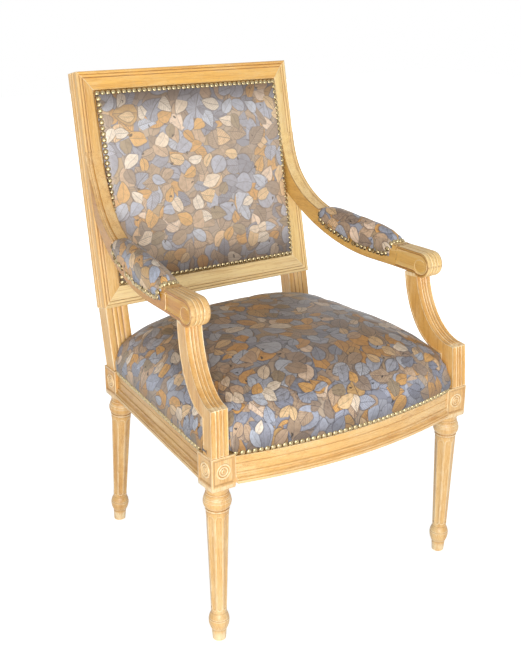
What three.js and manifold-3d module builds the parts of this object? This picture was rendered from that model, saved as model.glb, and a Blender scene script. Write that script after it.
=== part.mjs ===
// An open-arm upholstered chair with a square back, a moulded oak frame and turned, fluted legs.
// Millimetres, +Z up. The chair faces -Y, and +X is at the right of someone who looks at its front.
// Heights are measured from the floor, and depths from the front face of the front corner blocks.

import * as THREE from "three";
import { mergeVertices } from "three/addons/utils/BufferGeometryUtils.js";
import Module from "manifold-3d";

const wasm = await Module();
wasm.setup();

// Clearances and cutting overrun
const jointGap = 0.3;
const cutOverrun = 6;
const mergeDistance = 0.0005;

// Seat frame plan: the outer faces of the four corner blocks
const frontWidth = 578.5;
const rearWidth = 502.5;
const frameDepth = 489;

// Corner blocks and their sunk rosette panels
const blockSide = 47.5;
const blockTop = 370.5;
const blockHeight = 54.5;
const panelWidth = 34;
const panelHeight = 39;
const panelSink = 2.6;
const rosetteDiameter = 29;
const rosetteRelief = 2.3;
const blockTaperHeight = 8;
const blockTaperSide = 38;

// Turned legs
const turnedSides = 18;
const neckDiameter = 39;
const bulbDiameter = 51.5;
const bulbHeight = 36;
const shaftTopDiameter = 40;
const shaftFootDiameter = 28;
const fluteCount = 8;
const fluteDepth = 2.2;
const fluteEndMargin = 9;
const fluteRunOut = 5;
const footBulbDiameter = 37.5;
const footBulbHeight = 39;
const pegDiameter = 27;
const pegTipDiameter = 24;
const pegHeight = 18;
const rearFootSetBack = 40;

// Seat rails
const railTop = 365;
const railHeight = 48.5;
const railThickness = 28;
const railBaseProjection = 8.5;
const railMouldingHeight = 18.5;
const railGrooveDrop = 14;
const railGrooveSize = 1.3;
const tackingRise = 11;
const tackingLedge = 7;
const frontRailBow = 30;
const frontRailSetback = 2;
const sideRailFrontSetback = 9.75;
const sideRailRearSetback = 6.25;
const rearRailSetback = 3;
const railTenonLength = 16;
const railTenonHeight = 26;
const railTenonThickness = 10;
const railTenonSetIn = 15;

// Back frame, in its own raked plane
const backRakeDegrees = 11.35;
const backPivotSetIn = 19.8;
const backPivotHeight = 496.2;
const backHeight = 463;
const backThickness = 40;
const backTopWidth = 489;
const openingWidth = 425.5;
const crestHeight = 37;
const lowerRailHeight = 41;
const frameMouldingWidth = 14;
const frameMouldingDepth = 3;
const rebateWidth = 14;
const rebateDepth = 8;
const rearRebateDepth = 3;
const sideReedDepth = 1.6;
const frameTenonLength = 20;
const frameTenonHeight = 24;
const frameTenonThickness = 12;

// Posts between the rear blocks and the back frame
const postWidth = 49;
const postOuterSetback = 3;
const postFrontSetback = 4.5;
const reedDepth = 2;

// Arms
const armWidth = 35;
const armRootTop = 800;
const armRootBottom = 674;
const armUnderside = 578;
const armRiseSetback = 229.2;
const armFrontCentre = 260;
const armRearCentre = 230.6;
const armRootWidth = 34;
const armDepthBehindPad = 41;
const scrollRadius = 25;
const scrollDrop = 6;
const scrollCentreDepth = 99;
const scrollWidth = 38;
const scrollEyeDiameter = 19;
const scrollEyeProud = 1;
const scrollSteps = 6;
const armTenonLength = 20;
const armTenonHeight = 50;
const armTenonThickness = 12;

// Arm pads
const padFrontSetback = 82;
const padRearSetback = 66.2;
const padSeatHeight = 34;
const padSkirtHeight = 14;
const padSkirtThickness = 2.6;
const padCrown = 77;
const padBulge = 1.8;

// Arm supports
const supportWidth = 33.8;
const supportFootSetIn = 0.8;
const supportFrontDepth = 3;
const supportFootDepth = 28.5;
const supportFrontKink = 453;
const supportRearKink = 434;
const supportSweep = 100;
const supportFrontSweepHeight = 150;
const supportRearSweepHeight = 165;
const supportFrontLean = 5;
const supportRearLean = 4.5;
const supportInwardPerDepth = 0.08;
const supportInwardPerHeight = 0.025;
const supportTenonSide = 11;
const supportTenonLength = 14;

// Seat cushion
const cushionClearance = 0.7;
const cushionCrown = 128;
const cushionBulge = 5;
const cushionEdgeRise = 8;
const cushionSkirtInset = 1;

// Back pad and outside back
const backPadCrown = 22;
const backPadLip = 6;
const outsideBackThickness = 2.4;

// Webbing
const webbingWidth = 50;
const webbingThickness = 1.8;
const webbingRamp = 12;
const seatStrapsLengthwise = 5;
const seatStrapsCrosswise = 4;
const backStrapsUpright = 3;
const backStrapsAcross = 3;
const backStrapLanding = 6;
const seatStrapLanding = 16;

// Corner blocks glued inside the seat frame, and the cloth under it
const cornerBlockLeg = 62;
const cornerBlockHeight = 26;
const cornerBlockDrop = 8;
const cornerBlockClearance = 0.7;
const dustCoverThickness = 1.2;
const dustCoverInset = 10;

// Shapes as shares of the sizes that they follow
const railMouldingShares = [
  [0.3, 1], [0.4, 0.9], [0.3, 0.8], [0.22, 0.76], [0.34, 0.6],
  [0.6, 0.51], [0.78, 0.44], [0.84, 0.36], [0.74, 0.29], [0.86, 0.24], [1, 0.19], [1, 0],
];
const frameFaceShares = [
  [0, 0.7], [0.1, 0.15], [0.26, 0], [0.4, 0.15], [0.46, 0.85], [0.54, 0.85],
  [0.6, 0.25], [0.74, 0.08], [0.88, 0.25], [0.94, 1], [1, 0.4],
];
const reedFaceShares = [
  [0, 1], [0.04, 0.25], [0.14, 0], [0.27, 0.12], [0.315, 0.9], [0.345, 0.9], [0.4, 0.1],
  [0.6, 0.1], [0.655, 0.9], [0.685, 0.9], [0.73, 0.12], [0.86, 0], [0.96, 0.25], [1, 1],
];
const sideReedShares = [[0.72, 0], [0.66, 1], [0.6, 0], [0.44, 0], [0.38, 1], [0.32, 0]];
const scrollEyeShares = [[1, 0], [0.9, 1], [0.72, 1], [0.6, 0.25], [0, 1]];
const armBendPower = 1.9;
const sweepSpacingPower = 0.8;
const supportTenonPlaceShare = 0.6;
const sweepReachShare = 0.4;
const sweepRunShare = 0.86;
const sweepRiseShare = 0.27;
const padCrownShares = [
  [1, 0.55], [0.97, 0.66], [0.9, 0.77], [0.8, 0.88], [0.65, 0.96], [0.45, 1],
  [0.25, 0.97], [0.11, 0.89], [0.03, 0.76], [0, 0.61],
];
const padSideShares = [[1, 0, 0], [1, 1, 0.35], [1, 0.6, 0.6], [0.86, 0, 0.82], [0.52, 0, 0.955]];
const rosetteShares = [
  [1, 0], [0.97, 0.6], [0.88, 0.85], [0.78, 0.7], [0.7, 0.15], [0.58, 0.15],
  [0.5, 0.7], [0.42, 0.75], [0.34, 0.2], [0.26, 0.8], [0, 1],
];
const upperBulbShares = [
  [0.02, 0], [0.15, 0.04], [0.2, 0.1], [0.38, 0.12], [0.68, 0.25], [0.94, 0.42],
  [1, 0.52], [0.9, 0.62], [0.8, 0.64], [0.7, 0.76], [0.6, 0.78], [0.35, 0.92], [0.05, 0.97],
];
const lowerBulbShares = [
  [0.05, 0.03], [0.45, 0.15], [0.85, 0.36], [1, 0.52], [0.97, 0.62], [0.84, 0.64],
  [0.8, 0.7], [0.5, 0.84], [0.1, 1],
];
const blockTaperShares = [[0, 0], [0.2, 0.45], [0.5, 0.8], [1, 1]];
const shaftEmbedShare = 0.25;
const fluteShares = [[-0.13, 0], [0.13, 0], [0.31, 0.8], [0.5, 1], [0.69, 0.8]];
const crownRoundness = 0.33;
const cornerSharpPower = 8;
const crownFlatPower = 4;
const crownEdgePower = 0.42;
const undersideCentreShare = 0.5;
const padFlatPower = 3;
const padEdgePower = 0.5;
const cushionPointsPerSide = 12;
const padPointsPerSide = 8;
const backPadRingShares = [0.985, 0.95, 0.88, 0.76, 0.6, 0.35];
const cushionRingShares = [1, 0.994, 0.975, 0.94, 0.885, 0.81, 0.71, 0.58, 0.42, 0.22];

// Values that follow from the driving sizes
const blockBottom = blockTop - blockHeight;
const legTop = blockBottom - blockTaperHeight;
const railBottom = railTop - railHeight;
const tackingTop = railTop + tackingRise;
const frontRailEnd = frontWidth / 2 - blockSide;
const rearRailEnd = rearWidth / 2 - blockSide;
const backRake = THREE.MathUtils.degToRad(backRakeDegrees);
const scrollCentreHeight = armUnderside - scrollDrop + scrollRadius;
const armTopFront = scrollCentreHeight + scrollRadius;
const clearOpening = openingWidth / 2 - rebateWidth;

const paleOak = () => new THREE.MeshStandardMaterial({ color: 0xdcb56f, roughness: 0.55, metalness: 0 });
const leafFabric = () => new THREE.MeshStandardMaterial({ color: 0x8d8577, roughness: 0.7, metalness: 0 });
const jute = () => new THREE.MeshStandardMaterial({ color: 0xa98c5c, roughness: 0.9, metalness: 0 });
const blackCloth = () => new THREE.MeshStandardMaterial({ color: 0x1d1c1b, roughness: 0.95, metalness: 0 });

// Geometry helpers

function signedVolume(geometry) {
  const positions = geometry.getAttribute("position");
  const index = geometry.getIndex();
  const corner = [new THREE.Vector3(), new THREE.Vector3(), new THREE.Vector3()];
  let total = 0;
  for (let i = 0; i < index.count; i += 3) {
    corner.forEach((point, k) => point.fromBufferAttribute(positions, index.getX(i + k)));
    total += corner[0].dot(corner[1].clone().cross(corner[2]));
  }
  return total;
}

function reversed(geometry) {
  const index = geometry.getIndex().array;
  for (let i = 0; i < index.length; i += 3) {
    [index[i + 1], index[i + 2]] = [index[i + 2], index[i + 1]];
  }
  return geometry;
}

function closedBody(points, faces) {
  const geometry = new THREE.BufferGeometry();
  const positions = points.flatMap((point) => point.toArray());
  geometry.setAttribute("position", new THREE.Float32BufferAttribute(positions, 3));
  geometry.setIndex(faces);
  return signedVolume(geometry) < 0 ? reversed(geometry) : geometry;
}

// How well shaped the corner of an outline is as a triangle, or zero where it can't be cut off
function earQuality(outline, turn, corners, others) {
  const [a, b, c] = corners.map((i) => outline[i]);
  const area = turn * THREE.ShapeUtils.area([a, b, c]);
  const blocked = (p) => [[a, b], [b, c], [c, a]].every(([from, to]) =>
    turn * THREE.ShapeUtils.area([from, to, p]) >= 0);
  if (area <= 0 || others.some((i) => blocked(outline[i]))) {
    return 0;
  }
  return area / Math.max(a.distanceToSquared(b), b.distanceToSquared(c), c.distanceToSquared(a));
}

// Triangles that fill an outline and use all its points, wound the way the outline runs
function outlineFaces(outline) {
  const turn = Math.sign(THREE.ShapeUtils.area(outline));
  const left = outline.map((_, i) => i);
  const faces = [];
  while (left.length > 3) {
    const ears = left.map((_, k) => [-1, 0, 1].map((step) => left[(k + step + left.length) % left.length]));
    const quality = ears.map((ear) =>
      earQuality(outline, turn, ear, left.filter((i) => !ear.includes(i))));
    const best = quality.indexOf(Math.max(...quality));
    faces.push(ears[best]);
    left.splice(best, 1);
  }
  return [...faces, left];
}

// A closed skin over a row of rings, each ring with as many points as the next.
// caps holds the triangles that close the first ring and the last, wound the way the rings run.
function cappedSkin(rings, caps) {
  const count = rings[0].length;
  const faces = [];
  for (let ring = 0; ring + 1 < rings.length; ring += 1) {
    for (let i = 0; i < count; i += 1) {
      const a = ring * count + i;
      const b = ring * count + ((i + 1) % count);
      faces.push(a, b, b + count, a, b + count, a + count);
    }
  }
  const last = (rings.length - 1) * count;
  caps[0].forEach(([a, b, c]) => faces.push(a, c, b));
  caps[1].forEach(([a, b, c]) => faces.push(last + a, last + b, last + c));
  return closedBody(rings.flat(), faces);
}

// The same with its end caps found from how the end rings look from one side
const ringSkin = (rings, flatten) =>
  cappedSkin(rings, [rings[0], rings[rings.length - 1]].map((ring) => outlineFaces(ring.map(flatten))));

const fromFront = (point) => new THREE.Vector2(point.x, point.z);
const fromSide = (point) => new THREE.Vector2(point.y, point.z);
const fromAbove = (point) => new THREE.Vector2(point.x, point.y);
const alongRail = (point) => new THREE.Vector2(point.z, point.y);

// The same faces with one shared vertex at each corner
function welded(geometry) {
  const bare = geometry.index ? geometry.toNonIndexed() : geometry.clone();
  bare.deleteAttribute("normal");
  bare.deleteAttribute("uv");
  return mergeVertices(bare, mergeDistance);
}

function toSolid(geometry) {
  const merged = welded(geometry);
  const vertProperties = merged.getAttribute("position").array;
  const triVerts = new Uint32Array(merged.getIndex().array);
  return new wasm.Manifold(new wasm.Mesh({ numProp: 3, vertProperties, triVerts }));
}

function toGeometry(solid) {
  const mesh = solid.getMesh();
  const geometry = new THREE.BufferGeometry();
  geometry.setAttribute("position", new THREE.Float32BufferAttribute(mesh.vertProperties, 3));
  geometry.setIndex(Array.from(mesh.triVerts));
  return geometry;
}

const join = (first, ...others) =>
  toGeometry(others.reduce((whole, piece) => whole.add(toSolid(piece)), toSolid(first)));

const cut = (body, ...tools) =>
  toGeometry(tools.reduce((rest, tool) => rest.subtract(toSolid(tool)), toSolid(body)));

const common = (body, tool) => toGeometry(toSolid(body).intersect(toSolid(tool)));

function mirrored(geometry) {
  const copy = geometry.clone();
  copy.scale(-1, 1, 1);
  return reversed(copy);
}

// A box between two opposite corners
function boxBetween(low, high) {
  const size = new THREE.Vector3().subVectors(high, low);
  const middle = new THREE.Vector3().addVectors(low, high).multiplyScalar(0.5);
  return new THREE.BoxGeometry(size.x, size.y, size.z).translate(middle.x, middle.y, middle.z);
}

const grown = (low, high, by) =>
  boxBetween(low.clone().subScalar(by), high.clone().addScalar(by));

// A body turned about the Z axis from a list of [radius, height] points
function turned(profile, sides) {
  const points = profile.map(([radius, height]) => new THREE.Vector2(radius, height));
  const body = welded(new THREE.LatheGeometry(points, sides).rotateX(Math.PI / 2));
  return signedVolume(body) < 0 ? reversed(body) : body;
}

// A square body with its sides parallel to X and Y, from a list of [half side, height] points
const squareTurned = (profile) =>
  turned(profile.map(([half, height]) => [half * Math.SQRT2, height]), 4).rotateZ(Math.PI / 4);

const lerp = THREE.MathUtils.lerp;
const steps = (count) => Array.from({ length: count + 1 }, (_, i) => i / count);

// Turned legs

// Points of a bulb between two heights, swelling from the radius of what it joins
const bulbPoints = (shares, bottom, height, base, diameter) =>
  shares.map(([swell, rise]) => [lerp(base, diameter / 2, swell), bottom + height * rise]);

function flutedRing(radius, height, depth) {
  const ring = [];
  for (let flute = 0; flute < fluteCount; flute += 1) {
    for (const [turnShare, depthShare] of fluteShares) {
      const angle = ((flute + turnShare) / fluteCount) * 2 * Math.PI;
      const reach = radius - depth * depthShare;
      ring.push(new THREE.Vector3(reach * Math.cos(angle), reach * Math.sin(angle), height));
    }
  }
  return ring;
}

function flutedShaft() {
  const bottom = pegHeight + footBulbHeight;
  const top = legTop - bulbHeight;
  const radiusAt = (height) => {
    const share = (height - bottom) / (top - bottom);
    return lerp(shaftFootDiameter, shaftTopDiameter, share) / 2;
  };
  const low = bottom + fluteEndMargin;
  const high = top - fluteEndMargin;
  const places = [
    [bottom - footBulbHeight * shaftEmbedShare, 0],
    [low, 0],
    [low + fluteRunOut, 1],
    [high - fluteRunOut, 1],
    [high, 0],
    [top + bulbHeight * shaftEmbedShare, 0],
  ];
  const rings = places.map(([height, share]) => flutedRing(radiusAt(height), height, fluteDepth * share));
  return ringSkin(rings, fromAbove);
}

// The leg on its own axis, from the floor, or a little below it, up into the corner block
function turnedLeg(extraFoot) {
  const bulbBottom = legTop - bulbHeight;
  const upper = turned([
    [0, bulbBottom],
    ...bulbPoints(upperBulbShares, bulbBottom, bulbHeight, shaftTopDiameter / 2, bulbDiameter),
    [neckDiameter / 2, legTop],
    [neckDiameter / 2, legTop + blockTaperHeight / 2],
    [0, legTop + blockTaperHeight],
  ], turnedSides);
  const lower = turned([
    [0, -extraFoot],
    [pegTipDiameter / 2, -extraFoot],
    [pegDiameter / 2, pegHeight],
    ...bulbPoints(lowerBulbShares, pegHeight, footBulbHeight, shaftFootDiameter / 2, footBulbDiameter),
    [0, pegHeight + footBulbHeight],
  ], turnedSides);
  return join(flutedShaft(), upper, lower);
}

// Corner blocks

function cornerBlock() {
  const half = blockSide / 2;
  const taperHalf = blockTaperSide / 2;
  const taper = blockTaperShares.map(([out, up]) =>
    [lerp(taperHalf, half, out), lerp(legTop, blockBottom, up)]);
  return squareTurned([[0, legTop], ...taper, [half, blockTop], [0, blockTop]]);
}

const panelMiddle = blockBottom + blockHeight / 2;

// The pocket of a sunk panel, facing -Y
function panelPocket() {
  const half = blockSide / 2;
  return boxBetween(
    new THREE.Vector3(-panelWidth / 2, -half - cutOverrun, panelMiddle - panelHeight / 2),
    new THREE.Vector3(panelWidth / 2, -half + panelSink, panelMiddle + panelHeight / 2),
  );
}

// A rosette of rings round a button, standing on the panel's floor and facing -Y
function rosette() {
  const radius = rosetteDiameter / 2;
  const rings = rosetteShares.map(([reach, rise]) => [radius * reach, rosetteRelief * rise]);
  const disc = turned([[0, -panelSink], [radius, -panelSink], ...rings], turnedSides);
  return disc.rotateX(Math.PI / 2).translate(0, panelSink - blockSide / 2, panelMiddle);
}

// A corner block whose listed faces, as turns about Z from the front, carry a rosette
function carvedBlock(faces) {
  const pockets = faces.map((turn) => panelPocket().rotateZ(turn));
  const rosettes = faces.map((turn) => rosette().rotateZ(turn));
  return join(cut(cornerBlock(), ...pockets), ...rosettes);
}

const facingFront = 0;
const facingSide = Math.PI / 2;

// Seat rails

const frontRailFace = (x) => frontRailSetback - frontRailBow * (1 - (x / frontRailEnd) ** 2);

const sideRailFace = (y) => {
  const share = (y - blockSide) / (frameDepth - 2 * blockSide);
  return lerp(frontWidth / 2 - sideRailFrontSetback, rearWidth / 2 - sideRailRearSetback, share);
};

const rearRailFace = frameDepth - rearRailSetback;

// A rail's section as [distance out of its face, height], run from the top arris round by the underside
function railSection(moulded) {
  const grooveMiddle = railTop - railGrooveDrop;
  const moulding = railMouldingShares.map(([out, up]) =>
    [railBaseProjection * out, railBottom + railMouldingHeight * up]);
  const face = [
    [0, grooveMiddle + railGrooveSize],
    [-railGrooveSize, grooveMiddle],
    [0, grooveMiddle - railGrooveSize],
    [0, railBottom + railMouldingHeight],
    ...moulding,
  ];
  return [
    [0, railTop],
    ...(moulded ? face : [[0, railBottom]]),
    [-railThickness, railBottom],
    [-railThickness, tackingTop],
    [-tackingLedge, tackingTop],
    [-tackingLedge, railTop],
  ];
}

const tenonTop = railTop - railGrooveDrop / 2;
const tenonBottom = tenonTop - railTenonHeight;

// Tenon boxes as pairs of corners. Each is also grown and cut from the block that it enters.
const frontTenon = {
  low: new THREE.Vector3(frontRailEnd - railTenonLength, railTenonSetIn, tenonBottom),
  high: new THREE.Vector3(frontRailEnd + railTenonLength, railTenonSetIn + railTenonThickness, tenonTop),
};

const sideTenonOuter = (y) => sideRailFace(y) - railTenonThickness / 2;

const sideFrontTenon = {
  low: new THREE.Vector3(
    sideTenonOuter(blockSide) - railTenonThickness, blockSide - railTenonLength, tenonBottom),
  high: new THREE.Vector3(sideTenonOuter(blockSide), blockSide + railTenonLength, tenonTop),
};

const sideRearTenon = {
  low: new THREE.Vector3(
    sideTenonOuter(frameDepth - blockSide) - railTenonThickness,
    frameDepth - blockSide - railTenonLength, tenonBottom),
  high: new THREE.Vector3(
    sideTenonOuter(frameDepth - blockSide), frameDepth - blockSide + railTenonLength, tenonTop),
};

const rearTenon = {
  low: new THREE.Vector3(
    rearRailEnd - railTenonLength, rearRailFace - railTenonSetIn - railTenonThickness / 2, tenonBottom),
  high: new THREE.Vector3(
    rearRailEnd + railTenonLength, rearRailFace - railTenonSetIn + railTenonThickness / 2, tenonTop),
};

const tenonBody = (tenon) => boxBetween(tenon.low, tenon.high);
const mortise = (tenon) => grown(tenon.low, tenon.high, jointGap);
const frontRailStations = steps(10).map((share) => lerp(-1, 1, share) * (frontRailEnd - jointGap));

function frontSeatRail() {
  const section = railSection(true);
  const rings = frontRailStations.map((x) =>
    section.map(([out, height]) => new THREE.Vector3(x, frontRailFace(x) - out, height)));
  const tenon = tenonBody(frontTenon);
  return join(ringSkin(rings, fromSide), tenon, mirrored(tenon));
}

function sideSeatRail() {
  const ends = [blockSide + jointGap, frameDepth - blockSide - jointGap];
  const section = railSection(true);
  const rings = ends.map((y) =>
    section.map(([out, height]) => new THREE.Vector3(sideRailFace(y) + out, y, height)));
  return join(ringSkin(rings, fromFront), tenonBody(sideFrontTenon), tenonBody(sideRearTenon));
}

function rearSeatRail() {
  const section = railSection(false);
  const rings = [-1, 1].map((side) => section.map(([out, height]) =>
    new THREE.Vector3(side * (rearRailEnd - jointGap), rearRailFace + out, height)));
  const tenon = tenonBody(rearTenon);
  return join(ringSkin(rings, fromSide), tenon, mirrored(tenon));
}

// Back frame, drawn upright: X across, Y into the frame from its face, Z up along the rake

const backPivotDepth = frameDepth - backPivotSetIn;
const backPlane = new THREE.Group();
backPlane.position.set(0, backPivotDepth, backPivotHeight);
backPlane.rotation.x = -backRake;
backPlane.updateMatrix();

const raked = (geometry) => geometry.clone().applyMatrix4(backPlane.matrix);

// A member's section as [place, depth], from its outer edge to the edge of the clear opening
function frameSection(outerEdge, openEdge, reeds) {
  const inward = Math.sign(openEdge - outerEdge);
  const at = (distance) => outerEdge + inward * distance;
  const band = frameFaceShares[frameFaceShares.length - 1][1] * frameMouldingDepth;
  return [
    ...frameFaceShares.map(([across, deep]) => [at(frameMouldingWidth * across), frameMouldingDepth * deep]),
    [openEdge, band],
    [openEdge, backThickness],
    [at(sideReedDepth), backThickness],
    [at(0), backThickness - sideReedDepth],
    ...reeds.map(([share, deep]) => [at(sideReedDepth * deep), backThickness * share]),
  ];
}

const stileOuterAt = (z) => lerp(rearWidth, backTopWidth, z / backHeight) / 2;
const lowerRailSection = frameSection(0, lowerRailHeight + rebateWidth, []);
const crestSection = frameSection(backHeight, backHeight - crestHeight - rebateWidth, []);

// Where a rail's mouldings meet a stile's, seen from the front and drawn in by a clearance.
// edge is the rail's outer edge, and outward is the side of it that lies outside the frame.
function mitreOutline(edge, outward, height, inset) {
  const mouldingEnd = edge - outward * frameMouldingWidth;
  const side = [
    [stileOuterAt(edge) + jointGap, edge + outward * jointGap],
    [stileOuterAt(mouldingEnd) - frameMouldingWidth, mouldingEnd],
    [openingWidth / 2, edge - outward * height],
    [clearOpening, edge - outward * (height + rebateWidth)],
    [clearOpening, backHeight / 2],
  ].map(([x, z]) => [x - inset, z]);
  return [...side, ...side.map(([x, z]) => [-x, z]).reverse()];
}

function frontPrism(outline, depth) {
  const rings = [-cutOverrun, depth].map((y) => outline.map(([x, z]) => new THREE.Vector3(x, y, z)));
  return ringSkin(rings, fromFront);
}

const mitreGap = jointGap * Math.SQRT2;
const crestMitre = (inset, depth) => frontPrism(mitreOutline(backHeight, 1, crestHeight, inset), depth);
const lowerMitre = (inset, depth) => frontPrism(mitreOutline(0, -1, lowerRailHeight, inset), depth);

// The rebates for the upholstery in front and for the outside back behind
function frameRebates() {
  const half = openingWidth / 2;
  const top = backHeight - crestHeight;
  return [
    boxBetween(
      new THREE.Vector3(-half, -cutOverrun, lowerRailHeight), new THREE.Vector3(half, rebateDepth, top)),
    boxBetween(
      new THREE.Vector3(-half, backThickness - rearRebateDepth, lowerRailHeight),
      new THREE.Vector3(half, backThickness + cutOverrun, top)),
  ];
}

function frameTenon(z) {
  return {
    low: new THREE.Vector3(clearOpening - frameTenonLength, backThickness / 2, z - frameTenonHeight / 2),
    high: new THREE.Vector3(
      clearOpening + frameTenonLength, backThickness / 2 + frameTenonThickness, z + frameTenonHeight / 2),
  };
}

const crestTenon = frameTenon(backHeight - crestHeight);
const lowerTenon = frameTenon((lowerRailHeight + rebateWidth) / 2);

// A rail's mouldings run out to the mitres over the stiles, and its body stops between the stiles
function frameRail(section, mitre, tenon) {
  const ends = [-rearWidth / 2, rearWidth / 2];
  const bar = ringSkin(ends.map((x) => section.map(([z, y]) => new THREE.Vector3(x, y, z))), alongRail);
  const between = boxBetween(
    new THREE.Vector3(mitreGap - clearOpening, -cutOverrun, -cutOverrun),
    new THREE.Vector3(clearOpening - mitreGap, backThickness + cutOverrun, backHeight + cutOverrun),
  );
  const body = join(common(bar, mitre), common(bar, between));
  return join(cut(body, ...frameRebates()), tenonBody(tenon), mirrored(tenonBody(tenon)));
}

function stile() {
  const rings = [0, backHeight].map((z) =>
    frameSection(stileOuterAt(z), clearOpening, sideReedShares).map(([x, y]) => new THREE.Vector3(x, y, z)));
  return ringSkin(rings, fromAbove);
}

// The reeded post, drawn in the frame's plane from the block up into the stile
function reededPost(bottom, top) {
  const outer = rearWidth / 2 - postOuterSetback;
  const front = reedFaceShares.map(([across, deep]) =>
    [outer - postWidth * across, postFrontSetback + reedDepth * deep]);
  const outline = [...front, [outer - postWidth, backThickness], [outer, backThickness]];
  const rings = [bottom, top].map((z) => outline.map(([x, depth]) => new THREE.Vector3(x, depth, z)));
  return ringSkin(rings, fromAbove);
}

// Everything above the block's top, so that the raked post starts on it
const aboveBlocks = () => boxBetween(
  new THREE.Vector3(-frontWidth, -frameDepth, blockTop - cutOverrun),
  new THREE.Vector3(frontWidth, 2 * frameDepth, 2 * backPivotHeight + backHeight),
);

// The post's inner edge overhangs the rear rail's end, and clears its top
const rearRailRoom = () => boxBetween(
  new THREE.Vector3(-rearRailEnd, -frameDepth, 0),
  new THREE.Vector3(rearRailEnd, 2 * frameDepth, tackingTop + jointGap),
);

const legRake = Math.atan(rearFootSetBack / legTop);
const rearFootExtra = legTop * (1 / Math.cos(legRake) - 1) + pegTipDiameter * Math.tan(legRake);

function rakedLeg() {
  const leg = turnedLeg(rearFootExtra).translate(0, 0, -legTop);
  leg.rotateX(legRake).translate(0, 0, legTop);
  const belowFloor = boxBetween(
    new THREE.Vector3(-blockSide, -blockSide, -cutOverrun - pegHeight),
    new THREE.Vector3(blockSide, rearFootSetBack + blockSide, 0),
  );
  return cut(leg, belowFloor);
}

function rearPost() {
  const drop = (backPivotHeight - blockTop) / Math.cos(backRake) + blockHeight / 2;
  const centre = [rearWidth / 2 - blockSide / 2, frameDepth - blockSide / 2];
  const lower = join(carvedBlock([facingSide]), rakedLeg()).translate(centre[0], centre[1], 0);
  const frameMember = cut(
    join(stile(), reededPost(-drop, lowerRailHeight / 2)),
    crestMitre(0, rebateDepth + jointGap),
    lowerMitre(0, rebateDepth + jointGap),
    ...frameRebates(),
    mortise(crestTenon),
    mortise(lowerTenon),
    mortise(armTenon),
  );
  const upper = cut(common(raked(frameMember), aboveBlocks()), rearRailRoom());
  return cut(join(lower, upper), mortise(sideRearTenon), mortise(rearTenon));
}

// Arms

const stileLineDepth = (height) => backPivotDepth + (height - backPivotHeight) * Math.tan(backRake)
  - jointGap / Math.cos(backRake);

const armRootDepth = stileLineDepth(armRootBottom);
const armRiseDepth = backPivotDepth - armRiseSetback;
const padFrontDepth = scrollCentreDepth + padFrontSetback;
const padRearDepth = backPivotDepth - padRearSetback;
const armRise = armRootBottom - armUnderside;
const armArcRadius = ((armRootDepth - armRiseDepth) ** 2 + armRise ** 2) / (2 * armRise);

// Height of the arm's underside at a depth: level in front, then rising on an arc to the stile
function armUndersideAt(y) {
  const reach = Math.max(0, y - armRiseDepth);
  return armUnderside + armArcRadius - Math.sqrt(armArcRadius ** 2 - reach ** 2);
}

function armCentreAt(y) {
  const share = (y - scrollCentreDepth) / (armRootDepth - scrollCentreDepth);
  return lerp(armFrontCentre, armRearCentre, THREE.MathUtils.clamp(share, 0, 1) ** armBendPower);
}

function armHalfWidthAt(y) {
  const front = THREE.MathUtils.smoothstep(y, scrollCentreDepth + scrollRadius, padFrontDepth);
  const rear = THREE.MathUtils.smoothstep(y, padRearDepth, armRootDepth);
  return lerp(lerp(scrollWidth, armWidth, front), armRootWidth, rear) / 2;
}

const padStations = padCrownShares.map(([share]) => lerp(padFrontDepth, padRearDepth, share));

// The arm's side outline as rungs from the stile forward, each a point of the underside and
// the point of the top over it. A point has its depth, its height and whether it is moulded.
function armRungs() {
  const rungs = [];
  const rung = (low, high, lowMoulded, highMoulded) => rungs.push([
    { y: low.x, z: low.y, moulded: lowMoulded },
    { y: high.x, z: high.y, moulded: highMoulded },
  ]);
  const padEnd = new THREE.Vector2(padRearDepth + jointGap, armUndersideAt(padRearDepth) + armDepthBehindPad);
  const root = new THREE.Vector2(stileLineDepth(armRootTop), armRootTop);
  const reach = root.distanceTo(padEnd) * sweepReachShare;
  const sweep = new THREE.CubicBezierCurve(
    root,
    new THREE.Vector2(root.x - reach * Math.sin(backRake), root.y - reach * Math.cos(backRake)),
    new THREE.Vector2(padEnd.x + reach * sweepRunShare, padEnd.y + reach * sweepRiseShare),
    padEnd,
  );
  for (const share of steps(6)) {
    const y = lerp(armRootDepth, padEnd.x, share);
    rung(new THREE.Vector2(y, armUndersideAt(y)), sweep.getPoint(share), 0, 1);
  }
  for (const y of padStations) {
    const under = armUndersideAt(y);
    rung(new THREE.Vector2(y, under), new THREE.Vector2(y, under + padSeatHeight), 0, 0);
  }
  const padFront = padFrontDepth - jointGap;
  rung(new THREE.Vector2(padFront, armUnderside), new THREE.Vector2(padFront, armTopFront), 0, 1);
  const sink = armUnderside - scrollCentreHeight;
  const firstAngle = Math.atan2(sink, Math.sqrt(scrollRadius ** 2 - sink ** 2));
  const onScroll = (angle) => new THREE.Vector2(
    scrollCentreDepth + scrollRadius * Math.cos(angle), scrollCentreHeight + scrollRadius * Math.sin(angle));
  rung(onScroll(firstAngle), new THREE.Vector2(onScroll(firstAngle).x, armTopFront), 0, 1);
  for (let i = 0; i <= scrollSteps; i += 1) {
    const low = lerp(firstAngle, -Math.PI, (i + 1) / (scrollSteps + 2));
    const high = lerp(Math.PI / 2, Math.PI, i / scrollSteps);
    rung(onScroll(low), onScroll(high), 1, 1);
  }
  return rungs;
}

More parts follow.
